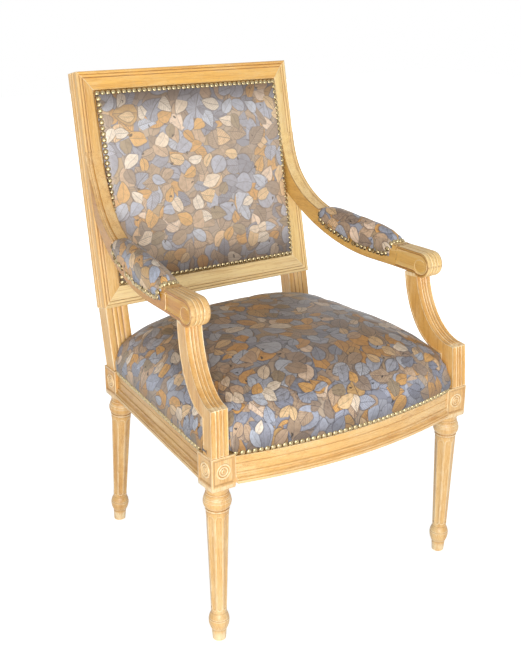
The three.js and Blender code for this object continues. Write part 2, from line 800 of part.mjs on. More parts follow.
// The inward normals of a closed outline of { y, z } points that runs clockwise seen from +X
function inwardNormals(points) {
  const area = THREE.ShapeUtils.area(points.map(({ y, z }) => new THREE.Vector2(y, z)));
  return points.map((_, i) => {
    const before = points[(i + points.length - 1) % points.length];
    const after = points[(i + 1) % points.length];
    const along = new THREE.Vector2(after.y - before.y, after.z - before.z).normalize();
    return new THREE.Vector2(-along.y, along.x).multiplyScalar(Math.sign(area));
  });
}

// The outline that rungs draw, along their low ends and back along their high ends
const rungOutline = (rungs) => [...rungs.map(([low]) => low), ...rungs.map(([, high]) => high).reverse()];

// Triangles between neighbouring rungs, so that a bent side stays true to its bend
function rungFaces(count) {
  const faces = [];
  for (let i = 0; i + 1 < count; i += 1) {
    const over = 2 * count - 1 - i;
    faces.push([i, i + 1, over - 1], [i, over - 1, over]);
  }
  return faces;
}

// Rungs carried across a width, their moulded points sunk by the reeds of the face.
// placeAcross gives the real X of a share of the width at a point.
function reededBody(rungs, depth, placeAcross) {
  const points = rungOutline(rungs);
  const normals = inwardNormals(points);
  const rings = reedFaceShares.map(([across, deep]) => points.map((point, i) => {
    const sink = depth * deep * point.moulded;
    const y = point.y + normals[i].x * sink;
    const z = point.z + normals[i].y * sink;
    return new THREE.Vector3(placeAcross(across, point), y, z);
  }));
  const caps = rungFaces(rungs.length);
  return cappedSkin(rings, [caps, caps]);
}

const armTenonHeightAbovePivot = ((armRootTop + armRootBottom) / 2 - backPivotHeight) / Math.cos(backRake);

const armTenon = {
  low: new THREE.Vector3(
    armRearCentre - armTenonThickness / 2, -cutOverrun, armTenonHeightAbovePivot - armTenonHeight / 2),
  high: new THREE.Vector3(
    armRearCentre + armTenonThickness / 2, armTenonLength, armTenonHeightAbovePivot + armTenonHeight / 2),
};

function scrollEye(side) {
  const radius = scrollEyeDiameter / 2;
  const sunk = [[0, -scrollEyeProud], [radius, -scrollEyeProud]];
  const eye = turned([
    ...sunk, ...scrollEyeShares.map(([reach, rise]) => [radius * reach, scrollEyeProud * rise]),
  ], turnedSides);
  const face = armFrontCentre + side * scrollWidth / 2;
  return eye.rotateY(side * Math.PI / 2).translate(face, scrollCentreDepth, scrollCentreHeight);
}

function arm() {
  const body = reededBody(armRungs(), reedDepth, (across, point) =>
    armCentreAt(point.y) + armHalfWidthAt(point.y) * lerp(1, -1, across));
  const whole = join(body, scrollEye(1), scrollEye(-1), raked(tenonBody(armTenon)));
  return cut(whole, grown(supportTopTenon().low, supportTopTenon().high, jointGap));
}

// Arm supports

const supportCentreAt = (y, z) => frontWidth / 2 - supportFootSetIn - supportWidth / 2
  - (y - supportFrontDepth) * supportInwardPerDepth - (z - blockTop) * supportInwardPerHeight;

// Depth of the support's front or rear edge at a height above its kink, a quarter of an ellipse
const sweptDepth = (start, kink, sweepHeight, z) =>
  start + supportSweep * Math.sqrt(1 - (1 - Math.min(1, (z - kink) / sweepHeight)) ** 2);

const supportRearDepth = supportFrontDepth + supportFootDepth;

// The side outline of the support as rungs from the foot up, let out all round by a margin
function supportRungs(margin) {
  const foot = blockTop + jointGap;
  const top = armUnderside - jointGap;
  const frontStart = supportFrontDepth + supportFrontLean;
  const rearStart = supportRearDepth + supportRearLean;
  const rung = (front, frontHeight, rear, rearHeight) => [
    { y: front - margin, z: frontHeight, moulded: 1 },
    { y: rear + margin, z: rearHeight, moulded: 0 },
  ];
  const swept = steps(9).map((share) => {
    const frontHeight = lerp(supportFrontKink, top, share ** sweepSpacingPower);
    const rearHeight = lerp(supportRearKink, top, share ** sweepSpacingPower);
    const front = sweptDepth(frontStart, supportFrontKink, supportFrontSweepHeight, frontHeight);
    const rear = sweptDepth(rearStart, supportRearKink, supportRearSweepHeight, rearHeight);
    return rung(front, frontHeight, rear, rearHeight);
  });
  return [rung(supportFrontDepth, foot, supportRearDepth, foot), ...swept];
}

const supportFootTenon = () => {
  const x = supportCentreAt(supportFrontDepth, blockTop);
  const y = supportFrontDepth + supportFootDepth / 2;
  const half = supportTenonSide / 2;
  return {
    low: new THREE.Vector3(x - half, y - half, blockTop - supportTenonLength),
    high: new THREE.Vector3(x + half, y + half, blockTop + supportTenonLength),
  };
};

const supportTopTenon = () => {
  const front = sweptDepth(
    supportFrontDepth + supportFrontLean, supportFrontKink, supportFrontSweepHeight, armUnderside);
  const rear = sweptDepth(
    supportRearDepth + supportRearLean, supportRearKink, supportRearSweepHeight, armUnderside);
  const x = supportCentreAt(front, armUnderside);
  const y = lerp(front, rear, supportTenonPlaceShare);
  const half = supportTenonSide / 2;
  return {
    low: new THREE.Vector3(x - half, y - half, armUnderside - supportTenonLength),
    high: new THREE.Vector3(x + half, y + half, armUnderside + supportTenonLength),
  };
};

// The scroll hangs a little below the arm, so the support's top is hollowed to clear it
const scrollRoom = () => new THREE.CylinderGeometry(
  scrollRadius + jointGap, scrollRadius + jointGap, 2 * scrollWidth, 3 * turnedSides)
  .rotateZ(Math.PI / 2)
  .translate(armFrontCentre, scrollCentreDepth, scrollCentreHeight);

function armSupport() {
  const body = reededBody(supportRungs(0), reedDepth, (across, point) =>
    supportCentreAt(point.y, point.z) + supportWidth / 2 * lerp(1, -1, across));
  const hollowed = cut(body, scrollRoom());
  return join(hollowed, tenonBody(supportFootTenon()), tenonBody(supportTopTenon()));
}

// The space that a support takes out of the cushion
function supportRoom() {
  const rungs = supportRungs(cushionClearance);
  const half = supportWidth / 2 + cushionClearance;
  const rings = [1, -1].map((side) => rungOutline(rungs).map(({ y, z }) =>
    new THREE.Vector3(supportCentreAt(y, z) + side * half, y, z)));
  const caps = rungFaces(rungs.length);
  return cappedSkin(rings, [caps, caps]);
}

function frontLeg() {
  const centre = frontWidth / 2 - blockSide / 2;
  const whole = join(carvedBlock([facingFront, facingSide]), turnedLeg(0));
  return cut(
    whole.translate(centre, blockSide / 2, 0),
    mortise(frontTenon),
    mortise(sideFrontTenon),
    grown(supportFootTenon().low, supportFootTenon().high, jointGap),
  );
}

// Arm pads

function padRing(y, fullness) {
  const base = armUndersideAt(y);
  const inner = armHalfWidthAt(y) + jointGap;
  const outer = inner + padSkirtThickness;
  const side = padBulge * fullness;
  const top = padCrown * fullness;
  const seat = padSeatHeight + jointGap;
  const half = [
    [inner, padSkirtHeight],
    ...padSideShares.map(([out, bulge, up]) => [outer * out + side * bulge, lerp(padSkirtHeight, top, up)]),
  ];
  const outline = [
    [inner, seat],
    ...half,
    [0, top],
    ...half.map(([across, height]) => [-across, height]).reverse(),
    [-inner, seat],
  ];
  return outline.map(([across, height]) => new THREE.Vector3(armCentreAt(y) + across, y, base + height));
}

// The pad ends a joint's gap short of the steps in the wood that it is tacked against
function armPad() {
  const ends = [padFrontDepth + jointGap, padRearDepth - jointGap];
  const rings = padStations.map((y, i) =>
    padRing(THREE.MathUtils.clamp(y, ...ends), padCrownShares[i][1]));
  return ringSkin(rings, fromFront);
}

// Seat cushion

// Points round a square, its corners rounded from none at a roundness of 0 to a circle at a half
function roundedSquare(perSide, roundness) {
  const square = [];
  for (let side = 0; side < 4; side += 1) {
    for (let i = 0; i < perSide; i += 1) {
      const along = new THREE.Vector2(-1 + (2 * i) / perSide, -1);
      square.push(along.rotateAround(new THREE.Vector2(), side * Math.PI / 2));
    }
  }
  return square.map((point) => {
    const [small, large] = [Math.abs(point.x), Math.abs(point.y)].sort((a, b) => a - b);
    const ratio = roundness > 0 ? (small / large) ** (1 / roundness) : 0;
    return point.divideScalar(large * (1 + ratio) ** roundness);
  });
}

// The seat's plan: shares of its half width and half depth, let out by a margin over the rails' faces
function seatPlace(across, along, margin, height) {
  const share = (along + 1) / 2;
  const middle = frontRailFace(0);
  const guess = lerp(middle, rearRailFace, share);
  const x = across * (sideRailFace(guess) + margin);
  const y = lerp(frontRailFace(x) - margin, rearRailFace + margin, share);
  return new THREE.Vector3(x, y, height);
}

function seatRing(scale, roundness, margin, height) {
  const ring = roundedSquare(cushionPointsPerSide, roundness);
  return ring.map((point) => seatPlace(point.x * scale, point.y * scale, margin, height));
}

function cushionForm() {
  const skirtBottom = railTop + jointGap;
  const webbingTop = tackingTop + 2 * (webbingThickness + jointGap) + jointGap;
  const edge = railTop + cushionEdgeRise;
  const insideSkirt = jointGap - tackingLedge;
  const underside = [
    seatRing(undersideCentreShare, 0, insideSkirt, webbingTop),
    seatRing(1, 0, insideSkirt, webbingTop),
    seatRing(1, 0, insideSkirt, skirtBottom),
    seatRing(1, 0, -cushionSkirtInset, skirtBottom),
    seatRing(1, 0, cushionBulge / 2, (skirtBottom + edge) / 2),
  ];
  const dome = cushionRingShares.map((share) => {
    const roundness = lerp(crownRoundness, 0, share ** cornerSharpPower);
    const rise = (1 - share ** crownFlatPower) ** crownEdgePower;
    return seatRing(share, roundness, cushionBulge, edge + cushionCrown * rise);
  });
  return ringSkin([...underside, ...dome], fromAbove);
}

// The space of the corner blocks and posts, which the cushion is notched to clear
function blockRoom(x, y) {
  const half = blockSide / 2;
  return grown(
    new THREE.Vector3(x - half, y - half, blockBottom),
    new THREE.Vector3(x + half, y + half, blockTop),
    cushionClearance,
  );
}

function postRoom() {
  const outer = rearWidth / 2 - postOuterSetback;
  const drop = (backPivotHeight - blockTop) / Math.cos(backRake) + blockHeight;
  const box = boxBetween(
    new THREE.Vector3(outer - postWidth - cushionClearance, postFrontSetback - cushionClearance, -drop),
    new THREE.Vector3(rearWidth, 2 * backThickness, backHeight / 2),
  );
  return common(raked(box), aboveBlocks());
}

function seatCushion() {
  const frontCentre = [frontWidth / 2 - blockSide / 2, blockSide / 2];
  const rearCentre = [rearWidth / 2 - blockSide / 2, frameDepth - blockSide / 2];
  const rooms = [blockRoom(...frontCentre), blockRoom(...rearCentre), postRoom(), supportRoom()];
  return cut(cushionForm(), ...rooms, ...rooms.map(mirrored));
}

// Back pad and outside back, in the back frame's plane

function openingRing(inset, depth, scale) {
  const halfWidth = openingWidth / 2 - inset;
  const halfHeight = (backHeight - crestHeight - lowerRailHeight) / 2 - inset;
  const middle = lowerRailHeight + halfHeight + inset;
  return roundedSquare(padPointsPerSide, lerp(crownRoundness, 0, scale ** cornerSharpPower)).map((point) =>
    new THREE.Vector3(point.x * scale * halfWidth, depth, middle + point.y * scale * halfHeight));
}

const backStrapTop = rebateDepth - 2 * (webbingThickness + jointGap);

function backPad() {
  const floor = rebateDepth - jointGap;
  const rings = [
    openingRing(backPadLip + jointGap, backStrapTop - jointGap, undersideCentreShare),
    openingRing(backPadLip + jointGap, backStrapTop - jointGap, 1),
    openingRing(backPadLip, floor, 1),
    openingRing(jointGap, floor, 1),
    openingRing(jointGap, 0, 1),
    ...backPadRingShares.map((share) =>
      openingRing(jointGap, -backPadCrown * (1 - share ** padFlatPower) ** padEdgePower, share)),
  ];
  return ringSkin(rings, fromFront);
}

function outsideBackPanel() {
  const front = backThickness - rearRebateDepth + jointGap;
  const rings = [
    openingRing(jointGap, front, 1),
    openingRing(jointGap, front + outsideBackThickness / 2, 1),
    openingRing(jointGap + outsideBackThickness / 2, front + outsideBackThickness, 1),
  ];
  return ringSkin(rings, fromFront);
}

// Webbing

// A strap along its own length, at its lower level except where it passes over another strap.
// crossings holds [place along, passes over]; place puts [along, across, level] into the chair.
function strap(start, end, crossings, place, flatten) {
  const half = webbingWidth / 2;
  const step = webbingThickness + jointGap;
  const stations = [[start, 0]];
  for (const [middle, over] of crossings) {
    if (over) {
      stations.push([middle - half - webbingRamp, 0], [middle - half - jointGap, step]);
      stations.push([middle + half + jointGap, step], [middle + half + webbingRamp, 0]);
    }
  }
  stations.push([end, 0]);
  const section = [[-half, 0], [half, 0], [half, webbingThickness], [-half, webbingThickness]];
  const rings = stations.map(([along, level]) =>
    section.map(([across, height]) => place(along, across, level + height)));
  return ringSkin(rings, flatten);
}

// Middles of straps spread evenly over a span
const spread = (count, low, high) =>
  Array.from({ length: count }, (_, i) => lerp(low, high, (i + 0.5) / count));

const seatStrapMiddlesX = spread(
  seatStrapsLengthwise, railThickness - sideRailFace(frameDepth - blockSide),
  sideRailFace(frameDepth - blockSide) - railThickness);
const seatStrapMiddlesY = spread(
  seatStrapsCrosswise, blockSide, frameDepth - blockSide);

function seatStrapLengthwise(index) {
  const x = seatStrapMiddlesX[index];
  const start = frontRailFace(Math.abs(x) + webbingWidth / 2) + railThickness - seatStrapLanding;
  const end = rearRailFace - railThickness + seatStrapLanding;
  const crossings = seatStrapMiddlesY.map((y, i) => [y, (i + index) % 2 === 0]);
  const level = tackingTop + jointGap;
  return strap(start, end, crossings, (along, across, height) =>
    new THREE.Vector3(x + across, along, level + height), fromFront);
}

function seatStrapCrosswise(index) {
  const y = seatStrapMiddlesY[index];
  const reach = sideRailFace(y) - railThickness + seatStrapLanding;
  const crossings = seatStrapMiddlesX.map((x, i) => [x, (i + index) % 2 === 1]);
  const level = tackingTop + jointGap;
  return strap(-reach, reach, crossings, (along, across, height) =>
    new THREE.Vector3(along, y + across, level + height), fromSide);
}

const backStrapMiddlesX = spread(backStrapsUpright, -clearOpening, clearOpening);
const backStrapMiddlesZ = spread(
  backStrapsAcross, lowerRailHeight + rebateWidth, backHeight - crestHeight - rebateWidth);

function backStrapUpright(index) {
  const x = backStrapMiddlesX[index];
  const start = lowerRailHeight + rebateWidth - backStrapLanding;
  const end = backHeight - crestHeight - rebateWidth + backStrapLanding;
  const crossings = backStrapMiddlesZ.map((z, i) => [z, (i + index) % 2 === 0]);
  const level = rebateDepth - jointGap;
  return strap(start, end, crossings, (along, across, height) =>
    new THREE.Vector3(x + across, level - height, along), fromAbove);
}

function backStrapAcross(index) {
  const z = backStrapMiddlesZ[index];
  const reach = clearOpening + backStrapLanding;
  const crossings = backStrapMiddlesX.map((x, i) => [x, (i + index) % 2 === 1]);
  const level = rebateDepth - jointGap;
  return strap(-reach, reach, crossings, (along, across, height) =>
    new THREE.Vector3(along, level - height, z + across), alongRail);
}

// Corner blocks glued inside the frame

function extrudedPlan(points, bottom, height) {
  const shape = new THREE.Shape(points.map(([x, y]) => new THREE.Vector2(x, y)));
  const body = new THREE.ExtrudeGeometry(shape, { depth: height, bevelEnabled: false });
  return welded(body.translate(0, 0, bottom));
}

const cornerBlockBottom = tackingTop - cornerBlockDrop - cornerBlockHeight;

function frontCornerBlock() {
  const inX = frontRailEnd - cornerBlockClearance;
  const inY = blockSide + cornerBlockClearance;
  const railInner = (x) => frontRailFace(x) + railThickness + cornerBlockClearance;
  const sideInner = (y) => sideRailFace(y) - railThickness - cornerBlockClearance;
  const farX = inX - cornerBlockLeg;
  const farY = inY + cornerBlockLeg;
  return extrudedPlan([
    [inX, railInner(inX)],
    [inX, inY],
    [sideInner(inY), inY],
    [sideInner(farY), farY],
    [farX, railInner(farX)],
  ], cornerBlockBottom, cornerBlockHeight);
}

function rearCornerBlock() {
  const inX = rearRailEnd - cornerBlockClearance;
  const inY = frameDepth - blockSide - cornerBlockClearance;
  const railInner = rearRailFace - railThickness - cornerBlockClearance;
  const sideInner = (y) => sideRailFace(y) - railThickness - cornerBlockClearance;
  const farX = inX - cornerBlockLeg;
  const farY = inY - cornerBlockLeg;
  return extrudedPlan([
    [inX, railInner],
    [farX, railInner],
    [sideInner(farY), farY],
    [sideInner(inY), inY],
    [inX, inY],
  ], cornerBlockBottom, cornerBlockHeight);
}

// The cloth under the frame, cut back at the corners to clear the blocks
function dustCover() {
  const front = (x) => frontRailFace(x) + dustCoverInset;
  const side = (y) => sideRailFace(y) - dustCoverInset;
  const rear = rearRailFace - dustCoverInset;
  const cornerX = frontRailEnd - dustCoverInset;
  const rearCornerX = rearRailEnd - dustCoverInset;
  const cornerY = blockSide + dustCoverInset;
  const rearCornerY = frameDepth - blockSide - dustCoverInset;
  const bow = steps(8).map((share) => lerp(-cornerX, cornerX, share)).map((x) => [x, front(x)]);
  return extrudedPlan([
    ...bow,
    [cornerX, cornerY],
    [side(cornerY), cornerY],
    [side(rearCornerY), rearCornerY],
    [rearCornerX, rearCornerY],
    [rearCornerX, rear],
    [-rearCornerX, rear],
    [-rearCornerX, rearCornerY],
    [-side(rearCornerY), rearCornerY],
    [-side(cornerY), cornerY],
    [-cornerX, cornerY],
  ], railBottom - jointGap - dustCoverThickness, dustCoverThickness);
}

// Assembly

function piece(name, geometry, material) {
  const mesh = new THREE.Mesh(geometry, material);
  mesh.name = name;
  return mesh;
}

// A right-hand piece and its mirror image
function pair(name, geometry, material) {
  return [
    piece(name + "_right", geometry, material()),
    piece(name + "_left", mirrored(geometry), material()),
  ];
}

const seatFrame = new THREE.Group();
seatFrame.add(
  ...pair("front_leg", frontLeg(), paleOak),
  ...pair("rear_post", rearPost(), paleOak),
  piece("front_seat_rail", frontSeatRail(), paleOak()),
  ...pair("side_seat_rail", sideSeatRail(), paleOak),
  piece("rear_seat_rail", rearSeatRail(), paleOak()),
  ...pair("corner_block_front", frontCornerBlock(), paleOak),
  ...pair("corner_block_rear", rearCornerBlock(), paleOak),
);

const armFrame = new THREE.Group();
armFrame.add(
  ...pair("arm", arm(), paleOak),
  ...pair("arm_support", armSupport(), paleOak),
  ...pair("arm_pad", armPad(), leafFabric),
);

const crestRail = frameRail(crestSection, crestMitre(mitreGap, rebateDepth), crestTenon);
const backLowerRail = frameRail(lowerRailSection, lowerMitre(mitreGap, rebateDepth), lowerTenon);
backPlane.add(
  piece("crest_rail", crestRail, paleOak()),
  piece("back_lower_rail", backLowerRail, paleOak()),
  piece("back_pad", backPad(), leafFabric()),
  piece("outside_back_panel", outsideBackPanel(), leafFabric()),
);
for (let i = 0; i < backStrapsUpright; i += 1) {
  backPlane.add(piece("back_webbing_upright_" + (i + 1), backStrapUpright(i), jute()));
}
for (let i = 0; i < backStrapsAcross; i += 1) {
  backPlane.add(piece("back_webbing_across_" + (i + 1), backStrapAcross(i), jute()));
}

const seat = new THREE.Group();
seat.add(
  piece("seat_cushion", seatCushion(), leafFabric()),
  piece("dust_cover", dustCover(), blackCloth()),
);
for (let i = 0; i < seatStrapsLengthwise; i += 1) {
  seat.add(piece("seat_webbing_lengthwise_" + (i + 1), seatStrapLengthwise(i), jute()));
}
for (let i = 0; i < seatStrapsCrosswise; i += 1) {
  seat.add(piece("seat_webbing_crosswise_" + (i + 1), seatStrapCrosswise(i), jute()));
}

const chair = new THREE.Group();
chair.add(seatFrame, armFrame, backPlane, seat);

// The chair's origin is on the floor, under the middle of the box round it
const reach = new THREE.Box3().setFromObject(chair, true);
const middle = reach.getCenter(new THREE.Vector3());
chair.position.set(-middle.x, -middle.y, -reach.min.z);

export default chair;
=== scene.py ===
# An open-arm upholstered chair with a square back: its modelled pieces and their finishes.
# A piece is drawn in millimetres, with depths from the front face of the front corner blocks
# and heights from the floor, and goes into the chair's frame, in metres, when it is finished.

import math
from functools import partial, partialmethod, reduce

import bmesh
import bpy
from mathutils import Matrix, Vector
from mathutils.bvhtree import BVHTree
from mathutils.kdtree import KDTree


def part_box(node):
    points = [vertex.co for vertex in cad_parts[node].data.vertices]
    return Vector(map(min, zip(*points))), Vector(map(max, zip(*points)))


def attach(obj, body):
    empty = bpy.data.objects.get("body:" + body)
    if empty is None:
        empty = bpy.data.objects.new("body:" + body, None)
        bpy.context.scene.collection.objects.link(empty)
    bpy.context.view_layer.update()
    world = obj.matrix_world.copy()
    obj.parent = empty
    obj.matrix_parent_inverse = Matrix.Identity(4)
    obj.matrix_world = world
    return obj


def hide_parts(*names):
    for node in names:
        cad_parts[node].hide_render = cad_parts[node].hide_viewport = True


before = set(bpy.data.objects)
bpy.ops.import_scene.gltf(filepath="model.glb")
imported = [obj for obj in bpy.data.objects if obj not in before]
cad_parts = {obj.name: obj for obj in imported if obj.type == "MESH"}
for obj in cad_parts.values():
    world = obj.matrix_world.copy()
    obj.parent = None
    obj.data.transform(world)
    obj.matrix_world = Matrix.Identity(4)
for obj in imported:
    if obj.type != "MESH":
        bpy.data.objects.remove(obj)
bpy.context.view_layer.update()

MM = 0.001

# Seat frame plan: the outer faces of the four corner blocks
FRONT_WIDTH = 578.5
REAR_WIDTH = 502.5
FRAME_DEPTH = 489

# Corner blocks and their sunk rosette panels
BLOCK_SIDE = 47.5
BLOCK_TOP = 370.5
BLOCK_HEIGHT = 54.5
PANEL_BORDER = 6.3
PANEL_BEVEL = 1.8
PANEL_SINK = 1.9
PANEL_LIP = 0.4
PANEL_LIP_SINK = 0.3
PALE_RIM = 2.2
BLOCK_ARRIS = 0.9
ROSETTE_RADIUS = 14.5
ROSETTE_RELIEF = 2.3
BLOCK_TAPER = 8
BLOCK_TAPER_SIDE = 45
BLOCK_TAPER_STEPS = ((0.82, 0.45), (0.5, 0.8), (0, 1))

# Turned legs
NECK_RADIUS = 22.3
BULB_RADIUS = 25
BULB_HEIGHT = 44
SHAFT_TOP_RADIUS = 20.4
SHAFT_FOOT_RADIUS = 14
FLUTES = 8
FLUTE_DEPTH = 1.6
FLUTE_WIDTH_SHARE = 0.36
FLUTE_END_MARGIN = 8
FOOT_BULB_RADIUS = 18.8
FOOT_BULB_HEIGHT = 34
PEG_RADIUS = 13.5
PEG_TIP_RADIUS = 12
PEG_HEIGHT = 23
PEG_BEVEL = 2
PEG_BEVEL_HEIGHT = 1.6
LEG_INTO_BLOCK = 4
REAR_FOOT_SET_BACK = 40
LEG_STEPS = 96

# Seat rails
RAIL_TOP = 365
RAIL_HEIGHT = 48.5
RAIL_THICKNESS = 28
RAIL_TENON = 16
JOINT_GAP = 0.2
TACKING_RISE = 11
TACKING_LEDGE = 7
FRONT_RAIL_BOW = 30
FRONT_RAIL_SETBACK = 2
SIDE_RAIL_FRONT_SETBACK = 9.75
SIDE_RAIL_REAR_SETBACK = 6.25
REAR_RAIL_SETBACK = 3

# Back frame, in its own raked plane
BACK_RAKE = math.radians(11.35)
BACK_PIVOT_DEPTH = 469.2
BACK_PIVOT_HEIGHT = 496.2
BACK_HEIGHT = 463
BACK_THICKNESS = 40
BACK_TOP_WIDTH = 489
OPENING_WIDTH = 425.5
CREST_HEIGHT = 37
LOWER_RAIL_HEIGHT = 41
FACE_MOULDING = 14
REBATE_WIDTH = 14
REBATE_DEPTH = 8
REAR_REBATE_DEPTH = 3

# Posts between the rear blocks and the back frame
POST_WIDTH = 49
POST_OUTER_SETBACK = 3
POST_FRONT_SETBACK = 4.5
REED_DEPTH = 2.2
REED_ARRIS_DEPTH = 0.45
REED_ARRIS_WIDTH = 0.04

# Arms
ARM_WIDTH = 35
ARM_ROOT_TOP = 800
ARM_ROOT_BOTTOM = 674
ARM_UNDERSIDE = 578
ARM_RISE_DEPTH = 240
ARM_FRONT_CENTRE = 260
ARM_REAR_CENTRE = 230.6
ARM_ROOT_WIDTH = 34
ARM_DEPTH_BEHIND_PAD = 41
ARM_BEND_POWER = 1.9
ARM_SWEEP_PULL = 0.4
ARM_SWEEP_END = (0.86, 0.27)
SCROLL_RADIUS = 25
SCROLL_DROP = 6
SCROLL_CENTRE_DEPTH = 99
SCROLL_WIDTH = 38
SCROLL_EYE_RADIUS = 12
SCROLL_EYE_STRETCH = 1.25
SCROLL_EYE_SHIFT = (-0.5, -2.5)
SCROLL_LEDGE = 13
NOTCH_REACH = 2
NOTCH_DEPTH = 2.6
SCROLL_BAND = 4.6
SCROLL_PANEL_SINK = 1.6
SCROLL_PANEL_END = 172
SCROLL_PANEL_BULGE = 7
BEAD_RADIUS = 0.9
BEAD_SINK = 0.3
VOLUTE_TURNS = 1.1
VOLUTE_WOUND = (0.2, 0.75)

# Arm pads
PAD_FRONT_DEPTH = 181
PAD_REAR_DEPTH = 403
PAD_SEAT_HEIGHT = 34

# Arm supports
SUPPORT_WIDTH = 33.8
SUPPORT_FOOT_SET_IN = 0.8
SUPPORT_FRONT_DEPTH = 3
SUPPORT_FOOT_DEPTH = 28.5
SUPPORT_FRONT_KINK = 453
SUPPORT_REAR_KINK = 434
SUPPORT_SWEEP = 100
SUPPORT_FRONT_SWEEP_HEIGHT = 150
SUPPORT_REAR_SWEEP_HEIGHT = 165
SUPPORT_FRONT_LEAN = 5
SUPPORT_REAR_LEAN = 4.5
SUPPORT_INWARD_PER_DEPTH = 0.08
SUPPORT_INWARD_PER_HEIGHT = 0.025
SUPPORT_BEAD_INSET = 2.6

# Upholstery
SEAT_CROWN = 500.6
SEAT_MIDDLE_DEPTH = 235
SEAT_HALF_WIDTH = 255
SEAT_HALF_DEPTH = 230
PAD_CROWN = 77
WRAP_POWER = 1.15
OUTSIDE_BACK_DEPTH = 38.2
OUTSIDE_BACK_BULGE = 1.2
DUST_COVER_HEIGHT = 315.6
DUST_COVER_INSET = 10
DUST_COVER_BULGE = 3
HEM_PITCH = 16

# Webbing straps, woven over and under each other
STRAP_WIDTH = 50
STRAP_THICKNESS = 1.8
STRAP_GAP = 0.3
STRAP_RAMP = 12
SEAT_STRAP_LANDING = 16
BACK_STRAP_LANDING = 6

# Nails
NAIL_RADIUS = 5.5
NAIL_RISE = 3.6
SEAT_NAIL_PITCH = 11
BACK_NAIL_PITCH = 11.3
PAD_NAIL_PITCH = 12
PAD_NAIL_HEIGHT = 19
PAD_NAIL_FRONT_LIFT = 26
PAD_NAIL_FRONT_RUN = 24
PAD_NAIL_REAR_LIFT = 15
PAD_NAIL_REAR_RUN = 16
NAIL_DIMPLE = 1
NAIL_DROP = 40
SEAT_NAIL_HEIGHT = 6
BACK_NAIL_INSET = 6

# Corners: how far a flat starts from its arris and how many times as long it has to be, the share of a
# side that a rounded corner may take, and the turn from which an edge is a knife's and not an arris
FLAT_MARGIN = 1.2
LONG_FLAT = 2.5
CORNER_SHARE = 0.42
KNIFE_EDGE = 2.6

# Stuffed cloth: the simulation's pressure and frames, the share of its cap by which cloth starts pressed in,
# the hold from which it is nailed, and how many nail radii a nail holds it down and dimples it
STUFFING_PRESSURE = 4
STUFFING_FRAMES = 20
PRESSED_SHARE = 0.6
NAILED = 0.95
NAIL_HOLD_REACH = 4
NAIL_DIMPLE_REACH = 2.2

# How far from its nails, or from their height, a cloth comes free, and how far painted shade darkens it
SEAT_FREE = (17, 45)
SEAT_PAINTED_SHADE = (8, 52)
BACK_FREE = (10, 45)
BACK_PAINTED_SHADE = (8, 85)
PAD_FREE = (22, 42)

# Where the pieces of the leaf cloth are cut from, in millimetres on it
BACK_CLOTH_SHIFT = Vector((900, 300))
PAD_CLOTH_SHIFT = Vector((700, 830))

# The photograph's view, worked out from the chair's own straight lines: the lens in millimetres from its
# length and the picture's height in pixels, and the eye's place in metres with its angles in degrees
SENSOR_WIDTH = 36
LENS_PIXELS = 995
PICTURE_PIXELS = 651
EYE = (-1.0378, -1.5490, 1.1244)
EYE_AZIMUTH = -33.7
EYE_ELEVATION = 19.4

# Light, in metres and watts, and the strengths of the white world and of the floor near the chair
KEY_PLACE = (-1.8, -2.95, 0.9)
KEY_TARGET = (0, 0, 0.5)
KEY_SIZE = 1.4
KEY_POWER = 82
HORIZON_LEVEL = 0.45
ZENITH_LEVEL = 0.5
FLOOR_GLOW = 0.66
FLOOR_SIZE = 8

# Values that follow from the sizes
BLOCK_BOTTOM = BLOCK_TOP - BLOCK_HEIGHT
LEG_TOP = BLOCK_BOTTOM - BLOCK_TAPER
RAIL_BOTTOM = RAIL_TOP - RAIL_HEIGHT
TACKING_TOP = RAIL_TOP + TACKING_RISE
FRONT_RAIL_END = FRONT_WIDTH / 2 - BLOCK_SIDE
REAR_RAIL_END = REAR_WIDTH / 2 - BLOCK_SIDE
SCROLL_CENTRE_HEIGHT = ARM_UNDERSIDE - SCROLL_DROP + SCROLL_RADIUS
ARM_TOP_FRONT = SCROLL_CENTRE_HEIGHT + SCROLL_RADIUS
CLEAR_OPENING = OPENING_WIDTH / 2 - REBATE_WIDTH
FRAME_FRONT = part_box("side_seat_rail_left")[0].y / MM - BLOCK_SIDE + RAIL_TENON
RAKED = Matrix.Translation((0, BACK_PIVOT_DEPTH, BACK_PIVOT_HEIGHT)) @ Matrix.Rotation(-BACK_RAKE, 4, "X")
IN_CHAIR = Matrix.Translation((0, FRAME_FRONT * MM, 0)) @ Matrix.Scale(MM, 4)
MIRRORED = Matrix.Scale(-1, 4, (1, 0, 0))


def lerp(a, b, share):
    return a + (b - a) * share


def smoothstep(value, start, end):
    share = min(1, max(0, (value - start) / (end - start)))
    return share * share * (3 - 2 * share)


def steps(count):
    return [i / count for i in range(count + 1)]


def stations(count, length):
    """Shares along a piece of a length in millimetres, one of them close to each end."""
    near = FLAT_MARGIN / length
    return [0, near, *(i / count for i in range(1, count)), 1 - near, 1]


# Shapes

def joined(*shapes):
    """One bmesh that holds the faces of several, which are used up."""
    whole = bmesh.new()
    for shape in shapes:
        mesh = bpy.data.meshes.new("joined")
        shape.to_mesh(mesh)
        shape.free()
        whole.from_mesh(mesh)
        bpy.data.meshes.remove(mesh)
    return whole


def moved(shape, matrix):
    bmesh.ops.transform(shape, matrix=matrix, verts=shape.verts)
    return shape


